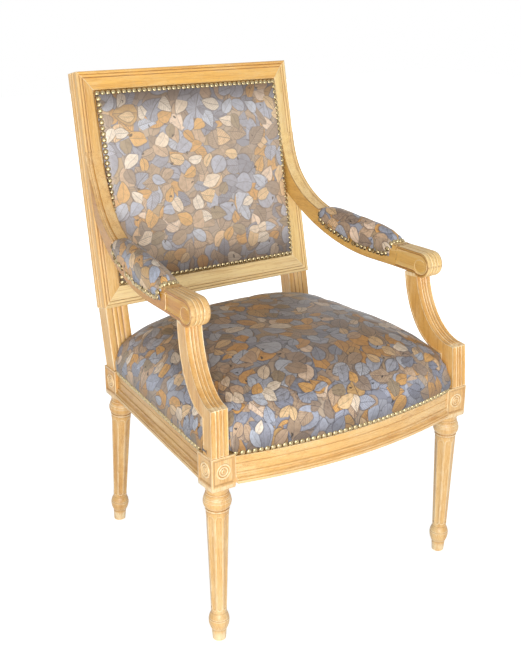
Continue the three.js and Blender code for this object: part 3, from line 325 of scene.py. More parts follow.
def softened(outline, reach, rounds=2):
    """A closed outline with each corner rounded off, and a point on each long flat beside it."""
    points = [Vector(point) for point in outline]
    flat = reach + FLAT_MARGIN
    soft = []
    for i, corner in enumerate(points):
        before = points[i - 1] - corner
        after = points[(i + 1) % len(points)] - corner
        start = corner + before.normalized() * min(reach, CORNER_SHARE * before.length)
        end = corner + after.normalized() * min(reach, CORNER_SHARE * after.length)
        if before.length > LONG_FLAT * flat:
            soft.append(corner + before.normalized() * flat)
        for share in steps(rounds):
            soft.append(start.lerp(corner, share).lerp(corner.lerp(end, share), share))
        if after.length > LONG_FLAT * flat:
            soft.append(corner + after.normalized() * flat)
    return soft


def swept(sections):
    """A closed body through a row of sections, each a loop with as many places as the next."""
    shape = bmesh.new()
    loop = [shape.verts.new(place) for place in sections[0]]
    shape.faces.new(loop)
    for section in sections[1:]:
        edges = [shape.edges.get((loop[i - 1], vert)) for i, vert in enumerate(loop)]
        made = bmesh.ops.extrude_edge_only(shape, edges=edges)["geom"]
        fresh = {item for item in made if isinstance(item, bmesh.types.BMVert)}
        loop = [next(edge.other_vert(vert) for edge in vert.link_edges if edge.other_vert(vert) in fresh)
                for vert in loop]
        for vert, place in zip(loop, section):
            vert.co = place
    shape.faces.new(loop)
    return shape


def turned(profile, count=LEG_STEPS):
    """A profile of (radius, height) pairs, from the axis back to the axis, spun about Z."""
    shape = bmesh.new()
    verts = [shape.verts.new((radius, 0, height)) for radius, height in profile]
    edges = [shape.edges.new(pair) for pair in zip(verts, verts[1:])]
    bmesh.ops.spin(shape, geom=verts + edges, cent=(0, 0, 0), axis=(0, 0, 1), dvec=(0, 0, 0),
                   angle=2 * math.pi, steps=count, use_merge=True)
    bmesh.ops.remove_doubles(shape, verts=shape.verts, dist=0.001)
    return shape


def note_edge_turns(shape):
    """Marks each corner of a mesh with its sharpest turn, above 0 over an arris and below 0 in a groove.

    The thin edge where a body leaves its neighbour's face is neither."""
    turns = shape.verts.layers.float.new("edge_turn")
    for vert in shape.verts:
        angles = [edge.calc_face_angle_signed(0) for edge in vert.link_edges]
        vert[turns] = max((angle for angle in angles if abs(angle) < KNIFE_EDGE), key=abs, default=0)


def cut_off_below(shape, height):
    """Cuts a body off level at a height and closes it."""
    cut = bmesh.ops.bisect_plane(shape, geom=[*shape.verts, *shape.edges, *shape.faces], dist=0.001,
                                 plane_co=(0, 0, height), plane_no=(0, 0, -1), clear_outer=True)
    rim = [item for item in cut["geom_cut"] if isinstance(item, bmesh.types.BMEdge)]
    bmesh.ops.holes_fill(shape, edges=rim)


def linked(item):
    bpy.context.scene.collection.objects.link(item)
    return item


def object_of(name, shape):
    """An object in the scene that holds a shape, which is used up."""
    mesh = bpy.data.meshes.new(name)
    shape.to_mesh(mesh)
    shape.free()
    return linked(bpy.data.objects.new(name, mesh))


def piece_of(name, shape, material, nodes=(), sharp=40):
    """Turns a shape drawn in millimetres into a piece of the chair that stands for CAD nodes."""
    bmesh.ops.remove_doubles(shape, verts=shape.verts, dist=0.005)
    bmesh.ops.recalc_face_normals(shape, faces=shape.faces)
    note_edge_turns(shape)
    piece = object_of(name, moved(shape, IN_CHAIR))
    piece.data.shade_smooth()
    piece.data.set_sharp_from_angle(angle=math.radians(sharp))
    piece.data.materials.append(material)
    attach(piece, "root")
    if nodes:
        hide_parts(*nodes)
    return piece


def pair_of(name, make, node, right, left):
    """The right piece and, as its mirror image, the left one, each in its own oak."""
    for side, place, material in (("right", Matrix.Identity(4), right), ("left", MIRRORED, left)):
        piece_of(f"{name}_{side}", moved(make(), place), material, [f"{node}_{side}"])


def reeds(edges, depths=(0.6, 0.85, 0.55, 0.85, 0.6), flatness=2.3):
    """Round reeds side by side between edges across a face, with the depth that it falls to at each edge.

    Each place is its share across, its share of the reed depth and its share of an arris's rounding."""
    places = []
    for i in range(len(edges) - 1):
        for share in steps(8)[1 if i else 0:]:
            across = lerp(edges[i], edges[i + 1], share)
            depth = depths[i] if share < 0.5 else depths[i + 1]
            arris = REED_ARRIS_DEPTH * max(0, 1 - min(across, 1 - across) / REED_ARRIS_WIDTH)
            places.append((across, depth * abs(2 * share - 1) ** flatness, arris))
    return places


REEDS = reeds((0, 0.31, 0.5, 0.69, 1))
POST_REEDS = reeds((0, 0.3, 0.5, 0.7, 1))
# The stile's two outer mouldings and flat band, carried on down the arm to its pad
ARM_ROOT_REEDS = reeds((0, 0.19, 0.365, 0.43, 1), (0.9, 0.95, 0.95, 0, 0.3))


# Turned legs. A bulb's outline has shares of its swell beyond the shaft and of its height.

FOOT_BULB = ((0.1, 0.02), (0.42, 0.12), (0.72, 0.24), (0.92, 0.38), (1, 0.5), (0.99, 0.58), (0.94, 0.63),
             (0.8, 0.645), (0.79, 0.67), (0.86, 0.69), (0.8, 0.74), (0.64, 0.81), (0.44, 0.88), (0.24, 0.94),
             (0.08, 0.98), (0, 1))
UPPER_BULB = ((0, 0), (0.14, 0.008), (0.26, 0.035), (0.12, 0.062), (-0.3, 0.07), (-0.36, 0.09), (-0.3, 0.11),
              (0.1, 0.118), (0.5, 0.165), (0.78, 0.23), (0.95, 0.3), (1, 0.36), (0.98, 0.41), (0.92, 0.44),
              (0.86, 0.445), (0.85, 0.455), (0.87, 0.465), (0.77, 0.52), (0.6, 0.58), (0.51, 0.585),
              (0.5, 0.595), (0.5, 0.605), (0.3, 0.65), (0.04, 0.695), (-0.1, 0.71), (0.02, 0.72),
              (0.12, 0.735), (0.02, 0.755), (-0.16, 0.765), (-0.14, 0.8), (-0.04, 0.86), (0.14, 0.92),
              (0.3, 0.965))
# A rosette's rings, from its rim to its button, as shares of its radius and of its relief
ROSETTE_RINGS = ((1, 0), (0.98, 0.5), (0.93, 0.8), (0.86, 0.85), (0.79, 0.65), (0.74, 0.2), (0.7, 0.1),
                 (0.66, 0.15), (0.61, 0.55), (0.55, 0.75), (0.49, 0.72), (0.44, 0.5), (0.4, 0.15),
                 (0.36, 0.15), (0.32, 0.6), (0.26, 0.85), (0.16, 0.97), (0, 1))
# The carved faces of the corner blocks: which way each faces, and the turn of its rosette
CARVED_FRONT = (Vector((0, -1, 0)), 0)
CARVED_SIDE = (Vector((1, 0, 0)), math.pi / 2)


def turned_leg(extra_foot):
    """The leg on its own axis, from the floor, or a little below it, up into the corner block."""
    bulb_bottom = LEG_TOP - BULB_HEIGHT
    foot_top = PEG_HEIGHT + FOOT_BULB_HEIGHT
    shaft = [(lerp(SHAFT_FOOT_RADIUS, SHAFT_TOP_RADIUS, share), lerp(foot_top, bulb_bottom, share))
             for share in shaft_rows()]
    foot = [(0, -extra_foot), (PEG_TIP_RADIUS - PEG_BEVEL, -extra_foot),
            (PEG_TIP_RADIUS, PEG_BEVEL_HEIGHT - extra_foot), (PEG_RADIUS, PEG_HEIGHT - PEG_BEVEL),
            (PEG_RADIUS - JOINT_GAP, PEG_HEIGHT)]
    foot += [(lerp(SHAFT_FOOT_RADIUS, FOOT_BULB_RADIUS, swell), PEG_HEIGHT + FOOT_BULB_HEIGHT * rise)
             for swell, rise in FOOT_BULB]
    upper = [(lerp(SHAFT_TOP_RADIUS, BULB_RADIUS, swell), bulb_bottom + BULB_HEIGHT * rise)
             for swell, rise in UPPER_BULB]
    top = LEG_TOP + LEG_INTO_BLOCK
    neck = [(NECK_RADIUS, LEG_TOP - JOINT_GAP), (NECK_RADIUS, top), (0, top)]
    leg = turned(foot + shaft + upper + neck)
    flute(leg, foot_top + FLUTE_END_MARGIN, bulb_bottom - FLUTE_END_MARGIN)
    return leg


def shaft_rows():
    """Rows up the shaft as shares of its height, close together where the flutes end."""
    ends = [0.02, 0.03, 0.037, 0.044, 0.051, 0.058, 0.065, 0.08, 0.12]
    return [0.01, *ends, 0.3, 0.5, 0.7, *(1 - share for share in reversed(ends)), 0.99]


def flute(leg, low, high):
    """Sinks round-ended flutes into the shaft between two heights."""
    for vert in leg.verts:
        radius = math.hypot(vert.co.x, vert.co.y)
        if radius < 1 or not low < vert.co.z < high:
            continue
        turn = math.atan2(vert.co.y, vert.co.x) / (2 * math.pi) * FLUTES
        from_middle = abs(turn - math.floor(turn) - 0.5)
        half_width = FLUTE_WIDTH_SHARE * 2 * math.pi * radius / FLUTES
        end = min(vert.co.z - low, high - vert.co.z) / half_width
        narrowing = math.sqrt(1 - (1 - min(1, end)) ** 2)
        reach = FLUTE_WIDTH_SHARE * max(0.001, narrowing)
        sink = FLUTE_DEPTH * narrowing * math.sqrt(max(0, 1 - (from_middle / reach) ** 2))
        vert.co.xy *= (radius - sink) / radius


def rosette():
    """Rings round a button, standing on the panel's floor and facing -Y."""
    profile = [(0, -1), (ROSETTE_RADIUS, -1)]
    profile += [(ROSETTE_RADIUS * reach, ROSETTE_RELIEF * rise) for reach, rise in ROSETTE_RINGS]
    facing_front = Matrix.Translation((0, PANEL_SINK - BLOCK_SIDE / 2, BLOCK_BOTTOM + BLOCK_HEIGHT / 2))
    return moved(turned(profile, 48), facing_front @ Matrix.Rotation(math.pi / 2, 4, "X"))


def corner_block(*carved):
    """The square block at the head of a leg, with a sunk rosette panel in each carved face."""
    shape = bmesh.new()
    bmesh.ops.create_cube(shape, size=1)
    bmesh.ops.scale(shape, vec=(BLOCK_SIDE, BLOCK_SIDE, BLOCK_HEIGHT), verts=shape.verts)
    bmesh.ops.translate(shape, vec=(0, 0, BLOCK_BOTTOM + BLOCK_HEIGHT / 2), verts=shape.verts)
    under = next(face for face in shape.faces if face.normal.z < -0.5)
    for share, rise in BLOCK_TAPER_STEPS:
        made = bmesh.ops.extrude_discrete_faces(shape, faces=[under])
        under = made["faces"][0]
        side = lerp(BLOCK_TAPER_SIDE, BLOCK_SIDE, share)
        for vert in under.verts:
            vert.co.x = math.copysign(side / 2, vert.co.x)
            vert.co.y = math.copysign(side / 2, vert.co.y)
            vert.co.z = BLOCK_BOTTOM - BLOCK_TAPER * rise
    sides = [edge for edge in shape.edges if edge.calc_face_angle(0) > 0.3]
    bmesh.ops.bevel(shape, geom=sides, offset=BLOCK_ARRIS, segments=2, profile=0.5, affect="EDGES",
                    material=-1)
    flats = [face for face in shape.faces if face.calc_area() > 400]
    bmesh.ops.inset_individual(shape, faces=flats, thickness=PALE_RIM)
    rims = ((PANEL_BORDER - BLOCK_ARRIS - 2 * PALE_RIM, 0), (PALE_RIM, 0), (PANEL_LIP, -PANEL_LIP_SINK),
            (PANEL_BEVEL, 2 * PANEL_LIP_SINK - PANEL_SINK), (PANEL_LIP, -PANEL_LIP_SINK), (FLAT_MARGIN, 0))
    for normal, _ in carved:
        panel = max(shape.faces, key=lambda face: face.normal.dot(normal) * face.calc_area())
        for thickness, depth in rims:
            bmesh.ops.inset_individual(shape, faces=[panel], thickness=thickness, depth=depth)
    roses = [moved(rosette(), Matrix.Rotation(turn, 4, "Z")) for _, turn in carved]
    return joined(shape, *roses)


def front_leg():
    centre = Matrix.Translation((FRONT_WIDTH / 2 - BLOCK_SIDE / 2, BLOCK_SIDE / 2, 0))
    return moved(joined(corner_block(CARVED_FRONT, CARVED_SIDE), turned_leg(0)), centre)


def rear_leg():
    """The raked rear leg under its block, cut level at the floor."""
    rake = math.atan(REAR_FOOT_SET_BACK / LEG_TOP)
    extra = LEG_TOP * (1 / math.cos(rake) - 1) + 2 * PEG_TIP_RADIUS * math.tan(rake)
    leg = moved(turned_leg(extra), Matrix.Translation((0, 0, -LEG_TOP)))
    moved(leg, Matrix.Translation((0, 0, LEG_TOP)) @ Matrix.Rotation(rake, 4, "X"))
    cut_off_below(leg, 0)
    centre = Matrix.Translation((REAR_WIDTH / 2 - BLOCK_SIDE / 2, FRAME_DEPTH - BLOCK_SIDE / 2, 0))
    return moved(joined(corner_block(CARVED_SIDE), leg), centre)


# Seat rails

def front_rail_face(x):
    return FRONT_RAIL_SETBACK - FRONT_RAIL_BOW * (1 - (x / FRONT_RAIL_END) ** 2)


def side_rail_face(y):
    share = (y - BLOCK_SIDE) / (FRAME_DEPTH - 2 * BLOCK_SIDE)
    front = FRONT_WIDTH / 2 - SIDE_RAIL_FRONT_SETBACK
    return lerp(front, REAR_WIDTH / 2 - SIDE_RAIL_REAR_SETBACK, share)


# A seat rail's mouldings, as distances out of its face and heights above its foot
RAIL_MOULDINGS = ((0, 36.4), (-0.5, 35.3), (-1.5, 34.6), (-1.5, 33.8), (-0.5, 33.2), (0, 32.2), (0, 19.4),
                  (0.6, 18.4), (2.2, 18), (3.1, 16.9), (3.1, 15.7), (2.3, 14.7), (1.7, 14), (1.8, 12.6),
                  (2.6, 11), (3.8, 10), (5.6, 9.4), (6.8, 8.4), (7.1, 7.2), (6.6, 6), (6.3, 5.5), (7.2, 4.9),
                  (8.5, 4.2), (8.5, 0))


def rail_section(face):
    """A rail's section as (distance out of its face, height), run round from its top arris."""
    section = [(0, RAIL_HEIGHT), *face, (-RAIL_THICKNESS, 0),
               (-RAIL_THICKNESS, RAIL_HEIGHT + TACKING_RISE), (-TACKING_LEDGE, RAIL_HEIGHT + TACKING_RISE),
               (-TACKING_LEDGE, RAIL_HEIGHT)]
    return [(point.x, RAIL_BOTTOM + point.y) for point in softened(section, 0.7)]


def across_to(end, count):
    """Places from one end of a rail to the other, as far on both sides of the chair's middle."""
    return [lerp(-1, 1, share) * (end - JOINT_GAP) for share in stations(count, 2 * end)]


def front_seat_rail():
    section = rail_section(RAIL_MOULDINGS)
    return swept([[(x, front_rail_face(x) - out, height) for out, height in section]
                  for x in across_to(FRONT_RAIL_END, 32)])


def side_seat_rail():
    section = rail_section(RAIL_MOULDINGS)
    ends = (BLOCK_SIDE + JOINT_GAP, FRAME_DEPTH - BLOCK_SIDE - JOINT_GAP)
    places = [lerp(*ends, share) for share in stations(4, FRAME_DEPTH)]
    return swept([[(side_rail_face(y) + out, y, height) for out, height in section] for y in places])


def rear_seat_rail():
    section = rail_section([(0, 0)])
    face = FRAME_DEPTH - REAR_RAIL_SETBACK
    return swept([[(x, face + out, height) for out, height in section] for x in across_to(REAR_RAIL_END, 4)])


# Back frame, drawn upright: X across, Y into the frame from its face, Z up along the rake

FACE_MOULDING_POINTS = ((0, 2.6), (0.5, 1.4), (1.7, 0.4), (3.4, 0), (5, 0.4), (5.8, 1.5), (6, 2.7),
                        (6.8, 2.7), (7.2, 1.5), (8.2, 0.8), (9.5, 0.5), (10.9, 0.8), (11.7, 1.6), (12, 3),
                        (12.9, 3), (13.4, 1.6), (FACE_MOULDING, 1.2))
ROUND_GROOVE = ((0, 3), (1.3, 2.5), (2.2, 1.4), (2.5, 0), (2.2, -1.4), (1.3, -2.5), (0, -3))
SIDE_GROOVE_DEPTHS = (28.5, 16.5)


def stile_outer_at(z):
    return lerp(REAR_WIDTH, BACK_TOP_WIDTH, z / BACK_HEIGHT) / 2


def stile_width_at(z):
    return stile_outer_at(z) - OPENING_WIDTH / 2


def frame_section(width, groove_depths=()):
    """A member's section as (distance in from its outer edge, depth), to the edge of the clear opening."""
    open_edge = width + REBATE_WIDTH
    rear = [(open_edge, REBATE_DEPTH), (open_edge, BACK_THICKNESS - REAR_REBATE_DEPTH),
            (width, BACK_THICKNESS - REAR_REBATE_DEPTH), (width, BACK_THICKNESS), (0, BACK_THICKNESS)]
    grooves = [(sink, middle + rise) for middle in groove_depths for sink, rise in ROUND_GROOVE]
    face = [(width - 1.5, 1.2), (width, 2.4), (width, REBATE_DEPTH)]
    return softened([*FACE_MOULDING_POINTS, *face, *rear, *grooves], 0.8)


def mitre_run(across, width, height):
    """How far from a member's end its mitre lies, at a distance across the member."""
    if across <= FACE_MOULDING:
        return across
    if across <= width:
        return lerp(FACE_MOULDING, height, (across - FACE_MOULDING) / (width - FACE_MOULDING))
    return height + across - width


def stile_mitre_run(across, width, end_width, height):
    """The same for a stile, whose band has one width here and another at its end."""
    if across > FACE_MOULDING:
        across = across * end_width / width
    return mitre_run(across, end_width, height)


def stile():
    """The right stile, mitred at both ends, its band narrowing towards the top."""
    rows = []
    for share in stations(6, BACK_HEIGHT):
        width = stile_width_at(BACK_HEIGHT * share)
        row = []
        for across, depth in frame_section(width, SIDE_GROOVE_DEPTHS):
            low = stile_mitre_run(across, width, stile_width_at(0), LOWER_RAIL_HEIGHT)
            high = BACK_HEIGHT - stile_mitre_run(across, width, stile_width_at(BACK_HEIGHT), CREST_HEIGHT)
            z = lerp(low, high, share)
            row.append((stile_outer_at(z) - across, depth, z))
        rows.append(row)
    return moved(swept(rows), RAKED)


def frame_rail(edge, inward, height):
    """A rail between the mitres. edge is its outer edge's height and inward its direction to the opening."""
    rows = []
    for share in stations(4, OPENING_WIDTH):
        row = []
        for across, depth in frame_section(height):
            reach = stile_outer_at(edge) - mitre_run(across, height, stile_width_at(edge))
            row.append((lerp(-reach, reach, share), depth, edge + inward * across))
        rows.append(row)
    return moved(swept(rows), RAKED)


def rear_post():
    """The reeded post, set back from the stile above it and standing on the corner block."""
    drop = (BACK_PIVOT_HEIGHT - BLOCK_TOP) / math.cos(BACK_RAKE) + 8
    outer = REAR_WIDTH / 2 - POST_OUTER_SETBACK
    inner = outer - POST_WIDTH
    front = [(outer - POST_WIDTH * across, POST_FRONT_SETBACK + REED_DEPTH * deep)
             for across, deep, _ in POST_REEDS]
    flat = POST_FRONT_SETBACK + REED_DEPTH + FLAT_MARGIN
    rear = [(inner, flat), (inner, BACK_THICKNESS - 1 - FLAT_MARGIN), (inner, BACK_THICKNESS - 1),
            (inner + 1, BACK_THICKNESS), (inner + 1 + FLAT_MARGIN, BACK_THICKNESS)]
    far_side = [(inner + outer - x, depth) for x, depth in reversed(rear)]
    section = [*front, *rear, *far_side]
    rows = [[(x, depth, lerp(-drop, 4, share)) for x, depth in section] for share in stations(4, drop)]
    post = moved(swept(rows), RAKED)
    cut_off_below(post, BLOCK_TOP)
    bmesh.ops.bisect_plane(post, geom=[*post.verts, *post.edges, *post.faces],
                           plane_co=(0, 0, BLOCK_TOP + FLAT_MARGIN), plane_no=(0, 0, 1))
    return post


# Arms

def stile_line_depth(height):
    return BACK_PIVOT_DEPTH + (height - BACK_PIVOT_HEIGHT) * math.tan(BACK_RAKE)


ARM_ROOT_DEPTH = stile_line_depth(ARM_ROOT_BOTTOM)
ARM_RISE = ARM_ROOT_BOTTOM - ARM_UNDERSIDE
ARM_ARC_RADIUS = ((ARM_ROOT_DEPTH - ARM_RISE_DEPTH) ** 2 + ARM_RISE ** 2) / (2 * ARM_RISE)


def arm_underside_at(y):
    """Level in front, then rising on an arc to the stile."""
    reach = max(0, y - ARM_RISE_DEPTH)
    return ARM_UNDERSIDE + ARM_ARC_RADIUS - math.sqrt(ARM_ARC_RADIUS ** 2 - reach ** 2)


def arm_centre_at(y):
    share = (y - SCROLL_CENTRE_DEPTH) / (ARM_ROOT_DEPTH - SCROLL_CENTRE_DEPTH)
    return lerp(ARM_FRONT_CENTRE, ARM_REAR_CENTRE, min(1, max(0, share)) ** ARM_BEND_POWER)


def arm_half_width_at(y):
    front = smoothstep(y, SCROLL_CENTRE_DEPTH + SCROLL_RADIUS, PAD_FRONT_DEPTH)
    rear = smoothstep(y, PAD_REAR_DEPTH, ARM_ROOT_DEPTH)
    return lerp(lerp(SCROLL_WIDTH, ARM_WIDTH, front), ARM_ROOT_WIDTH, rear) / 2


def bezier(places, share):
    """A point of the cubic through whose ends and towards whose middle places it bends."""
    while len(places) > 1:
        places = [a.lerp(b, share) for a, b in zip(places, places[1:])]
    return places[0]


def on_scroll(angle, radius=SCROLL_RADIUS):
    return Vector((SCROLL_CENTRE_DEPTH + radius * math.cos(angle),
                   SCROLL_CENTRE_HEIGHT + radius * math.sin(angle)))


def arm_rungs():
    """The arm's side outline from the stile forward, as pairs of a point below and the point over it.

    A point is its depth and height. Then come whether the reeds run over the one and over the other,
    and the reeds over the upper one."""
    rungs = []
    pad_end = Vector((PAD_REAR_DEPTH + 0.3, arm_underside_at(PAD_REAR_DEPTH) + ARM_DEPTH_BEHIND_PAD))
    root = Vector((stile_line_depth(ARM_ROOT_TOP), ARM_ROOT_TOP))
    reach = (root - pad_end).length * ARM_SWEEP_PULL
    sweep = [root, root - reach * Vector((math.sin(BACK_RAKE), math.cos(BACK_RAKE))),
             pad_end + reach * Vector(ARM_SWEEP_END), pad_end]
    for share in stations(16, ARM_ROOT_DEPTH - pad_end.x):
        y = lerp(ARM_ROOT_DEPTH, pad_end.x, share)
        rungs.append((Vector((y, arm_underside_at(y))), bezier(sweep, share), 0, 1, ARM_ROOT_REEDS))
    for share in steps(12):
        y = lerp(PAD_REAR_DEPTH, PAD_FRONT_DEPTH, share)
        under = arm_underside_at(y)
        rungs.append((Vector((y, under)), Vector((y, under + PAD_SEAT_HEIGHT)), 0, 0, REEDS))
    below = ARM_UNDERSIDE - SCROLL_CENTRE_HEIGHT
    first_angle = math.atan2(below, math.sqrt(SCROLL_RADIUS ** 2 - below ** 2))
    turn_depth = on_scroll(first_angle).x
    reeds_start = PAD_FRONT_DEPTH - SCROLL_LEDGE
    ledge = [(lerp(PAD_FRONT_DEPTH - 0.3, reeds_start + NOTCH_REACH, share), 0, 0) for share in steps(8)]
    notch = [(reeds_start + NOTCH_REACH * reach, NOTCH_DEPTH * sink, moulded)
             for reach, sink, moulded in ((0.4, 0.75, 0.1), (0, 1, 0.25), (-0.4, 0.75, 0.45), (-1, 0, 1))]
    level = [(lerp(reeds_start - NOTCH_REACH, turn_depth, share), 0, 1) for share in steps(8)[1:]]
    for y, sink, moulded in ledge + notch + level:
        rungs.append((Vector((y, ARM_UNDERSIDE)), Vector((y, ARM_TOP_FRONT - sink)), 0, moulded, REEDS))
    count = 18
    for i in range(count + 1):
        low = on_scroll(lerp(first_angle, -math.pi, (i + 1) / (count + 1.2)))
        high = on_scroll(lerp(math.pi / 2, math.pi, i / count))
        rungs.append((low, high, 1, 1, REEDS))
    return rungs


def edge_normals(points):
    """Inward normals along an open row of points, for the side that lies to the row's left."""
    normals = []
    for i in range(len(points)):
        before = points[max(0, i - 1)]
        after = points[min(len(points) - 1, i + 1)]
        along = after - before
        normals.append(Vector((-along.y, along.x)).normalized())
    return normals


def reeded_body(rungs, width, place_across, sinking):
    """Rungs carried across a width, their moulded points sunk by the reeds of the face.

    sinking is how deep the flat sides are hollowed at a place, inside a band along each edge."""
    lows = [rung[0] for rung in rungs]
    highs = [rung[1] for rung in rungs]
    low_normals = [-normal for normal in edge_normals(lows)]
    high_normals = edge_normals(highs)
    rows = []
    for i, (low, high, low_moulded, high_moulded, high_reeds) in enumerate(rungs):
        faces = []
        for point, normal, moulded, run in ((high, high_normals[i], high_moulded, high_reeds),
                                            (low, low_normals[i], low_moulded, REEDS[::-1])):
            faces.append([(across, point + normal * REED_DEPTH * lerp(arris, deep, moulded))
                          for across, deep, arris in run])
        row = []
        for face, opposite in (faces, faces[::-1]):
            side, start = face[-1]
            end = opposite[0][1]
            length = (end - start).length
            margin = min(0.12, FLAT_MARGIN / length)
            band = min(0.3, SCROLL_BAND / length)
            inside = (band + margin / 2, 0.35, 0.5, 0.65, 1 - band - margin / 2)
            row += face
            for share in (margin, band, *inside, 1 - band, 1 - margin):
                place = start.lerp(end, share)
                hollow = sinking(place) / width if share in inside else 0
                row.append((side + math.copysign(hollow, 0.5 - side), place))
        rows.append([(place_across(across, place), place.x, place.y) for across, place in row])
    return swept(rows)


def panel_end_at(height):
    """The depth of the forward curve in which the scroll's hollowed side ends towards the pad."""
    middle = 2 * (height - ARM_UNDERSIDE) / (ARM_TOP_FRONT - ARM_UNDERSIDE) - 1
    return SCROLL_PANEL_END - SCROLL_PANEL_BULGE * (1 - min(1, middle ** 2))


def panel_sinking(place):
    """How deep the scroll's side is hollowed."""
    return SCROLL_PANEL_SINK * smoothstep(panel_end_at(place.y) - place.x, 0, SCROLL_PANEL_SINK)


def across_arm(across, point):
    return arm_centre_at(point.x) + arm_half_width_at(point.x) * lerp(1, -1, across)


def scroll_panel_at(point, side):
    """Where a scroll's hollowed side lies across, at a point of the arm."""
    return arm_centre_at(point.x) + side * (arm_half_width_at(point.x) - panel_sinking(point))


def scroll_eye(side):
    """The low round boss at the middle of the scroll's side."""
    rings = [(1, -1), (0.97, 0.1), (0.9, 0.3), (0.6, 0.55), (0.3, 0.8), (0, 0.9)]
    profile = [(0, -1), *((SCROLL_EYE_RADIUS * reach, rise) for reach, rise in rings)]
    eye = on_scroll(0, 0) + Vector(SCROLL_EYE_SHIFT)
    place = Matrix.Translation((scroll_panel_at(eye, side), *eye))
    stretch = Matrix.Scale(SCROLL_EYE_STRETCH, 4, (0, 1, 0))
    return moved(turned(profile, 40), place @ stretch @ Matrix.Rotation(side * math.pi / 2, 4, "Y"))


def side_bead(path, face_at, side):
    """A fine bead on a side face, along a path of depths and heights."""
    rows = []
    for point, normal in zip(path, edge_normals(path)):
        face = face_at(point) - side * BEAD_SINK
        row = []
        for share in steps(7)[:-1]:
            angle = share * 2 * math.pi
            place = point + normal * BEAD_RADIUS * math.cos(angle)
            row.append((face + side * BEAD_RADIUS * math.sin(angle), place.x, place.y))
        rows.append(row)
    return swept(rows)


def volute_bead(side):
    """The bead along the arm's top edge, past the pad and round the scroll into its eye."""
    past_pad = [lerp(PAD_REAR_DEPTH, PAD_FRONT_DEPTH + 4, share) for share in steps(24)]
    path = [Vector((y, arm_underside_at(y) + PAD_SEAT_HEIGHT - 3)) for y in past_pad]
    inward = SCROLL_BAND + 1
    turn_start = Vector((SCROLL_CENTRE_DEPTH, ARM_TOP_FRONT - inward))
    bend = [path[-1], path[-1] - Vector((12, 0)), turn_start + Vector((50, 0)), turn_start]
    path += [bezier(bend, share) for share in steps(12)[1:]]
    for share in steps(52)[1:]:
        angle = math.pi / 2 + share * 2 * VOLUTE_TURNS * math.pi
        wound = smoothstep(share, *VOLUTE_WOUND)
        radius = lerp(SCROLL_RADIUS - inward, SCROLL_EYE_RADIUS + 0.4, wound)
        place = on_scroll(angle, radius) - on_scroll(0, 0)
        place.x *= lerp(1, SCROLL_EYE_STRETCH, wound)
        path.append(on_scroll(0, 0) + place + Vector(SCROLL_EYE_SHIFT) * wound)
    return side_bead(path, lambda point: scroll_panel_at(point, side), side)


def panel_end_bead(side):
    """The curved line that closes the scroll's side towards the pad."""
    top = ARM_TOP_FRONT - SCROLL_BAND - 3
    heights = [lerp(top, ARM_UNDERSIDE + SCROLL_BAND, share) for share in steps(14)]
    path = [Vector((panel_end_at(height), height)) for height in heights]
    return side_bead(path, lambda point: scroll_panel_at(point, side), side)


def arm():
    body = reeded_body(arm_rungs(), SCROLL_WIDTH, across_arm, panel_sinking)
    carved = [carve(side) for carve in (scroll_eye, volute_bead) for side in (-1, 1)]
    return joined(body, panel_end_bead(1), *carved)


# Arm supports

def across_support(across, point):
    foot = FRONT_WIDTH / 2 - SUPPORT_FOOT_SET_IN - SUPPORT_WIDTH / 2
    back = (point.x - SUPPORT_FRONT_DEPTH) * SUPPORT_INWARD_PER_DEPTH
    up = (point.y - BLOCK_TOP) * SUPPORT_INWARD_PER_HEIGHT
    return foot - back - up + SUPPORT_WIDTH / 2 * lerp(1, -1, across)


def swept_depth(start, kink, sweep_height, z):
    """Depth of a support's edge at a height above its kink, a quarter of an ellipse."""
    share = min(1, max(0, (z - kink) / sweep_height))
    return start + SUPPORT_SWEEP * math.sqrt(1 - (1 - share) ** 2)


def support_rungs():
    foot = BLOCK_TOP
    top = ARM_UNDERSIDE
    front_start = SUPPORT_FRONT_DEPTH + SUPPORT_FRONT_LEAN
    rear_foot = SUPPORT_FRONT_DEPTH + SUPPORT_FOOT_DEPTH
    rear_start = rear_foot + SUPPORT_REAR_LEAN
    rungs = []
    for share in stations(4, SUPPORT_REAR_KINK - foot)[:-1]:
        rear = Vector((lerp(rear_foot, rear_start, share), lerp(foot, SUPPORT_REAR_KINK, share)))
        front = Vector((lerp(SUPPORT_FRONT_DEPTH, front_start, share), lerp(foot, SUPPORT_FRONT_KINK, share)))
        rungs.append((rear, front, 0, 1, REEDS))
    for share in steps(20):
        front_height = lerp(SUPPORT_FRONT_KINK, top, share ** 1.3)
        rear_height = lerp(SUPPORT_REAR_KINK, top, share ** 1.3)
        front = swept_depth(front_start, SUPPORT_FRONT_KINK, SUPPORT_FRONT_SWEEP_HEIGHT, front_height)
        rear = swept_depth(rear_start, SUPPORT_REAR_KINK, SUPPORT_REAR_SWEEP_HEIGHT, rear_height)
        rungs.append((Vector((rear, rear_height)), Vector((front, front_height)), 0, 1, REEDS))
    return rungs


def arm_support():
    """The support, with a bead up the rear edge of each side."""
    rungs = support_rungs()
    body = reeded_body(rungs, SUPPORT_WIDTH, across_support, lambda place: 0)
    rear = [rung[0] for rung in rungs[2:-1]]
    path = [point + SUPPORT_BEAD_INSET * normal for point, normal in zip(rear, edge_normals(rear))]
    beads = [side_bead(path, partial(across_support, across), side) for side, across in ((-1, 1), (1, 0))]
    return joined(body, *beads)


# Upholstery

def merged_copy(node):
    """A CAD node's closed mesh with its corners joined, in metres."""
    shape = bmesh.new()
    shape.from_mesh(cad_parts[node].data)
    bmesh.ops.remove_doubles(shape, verts=shape.verts, dist=0.00001)
    return shape


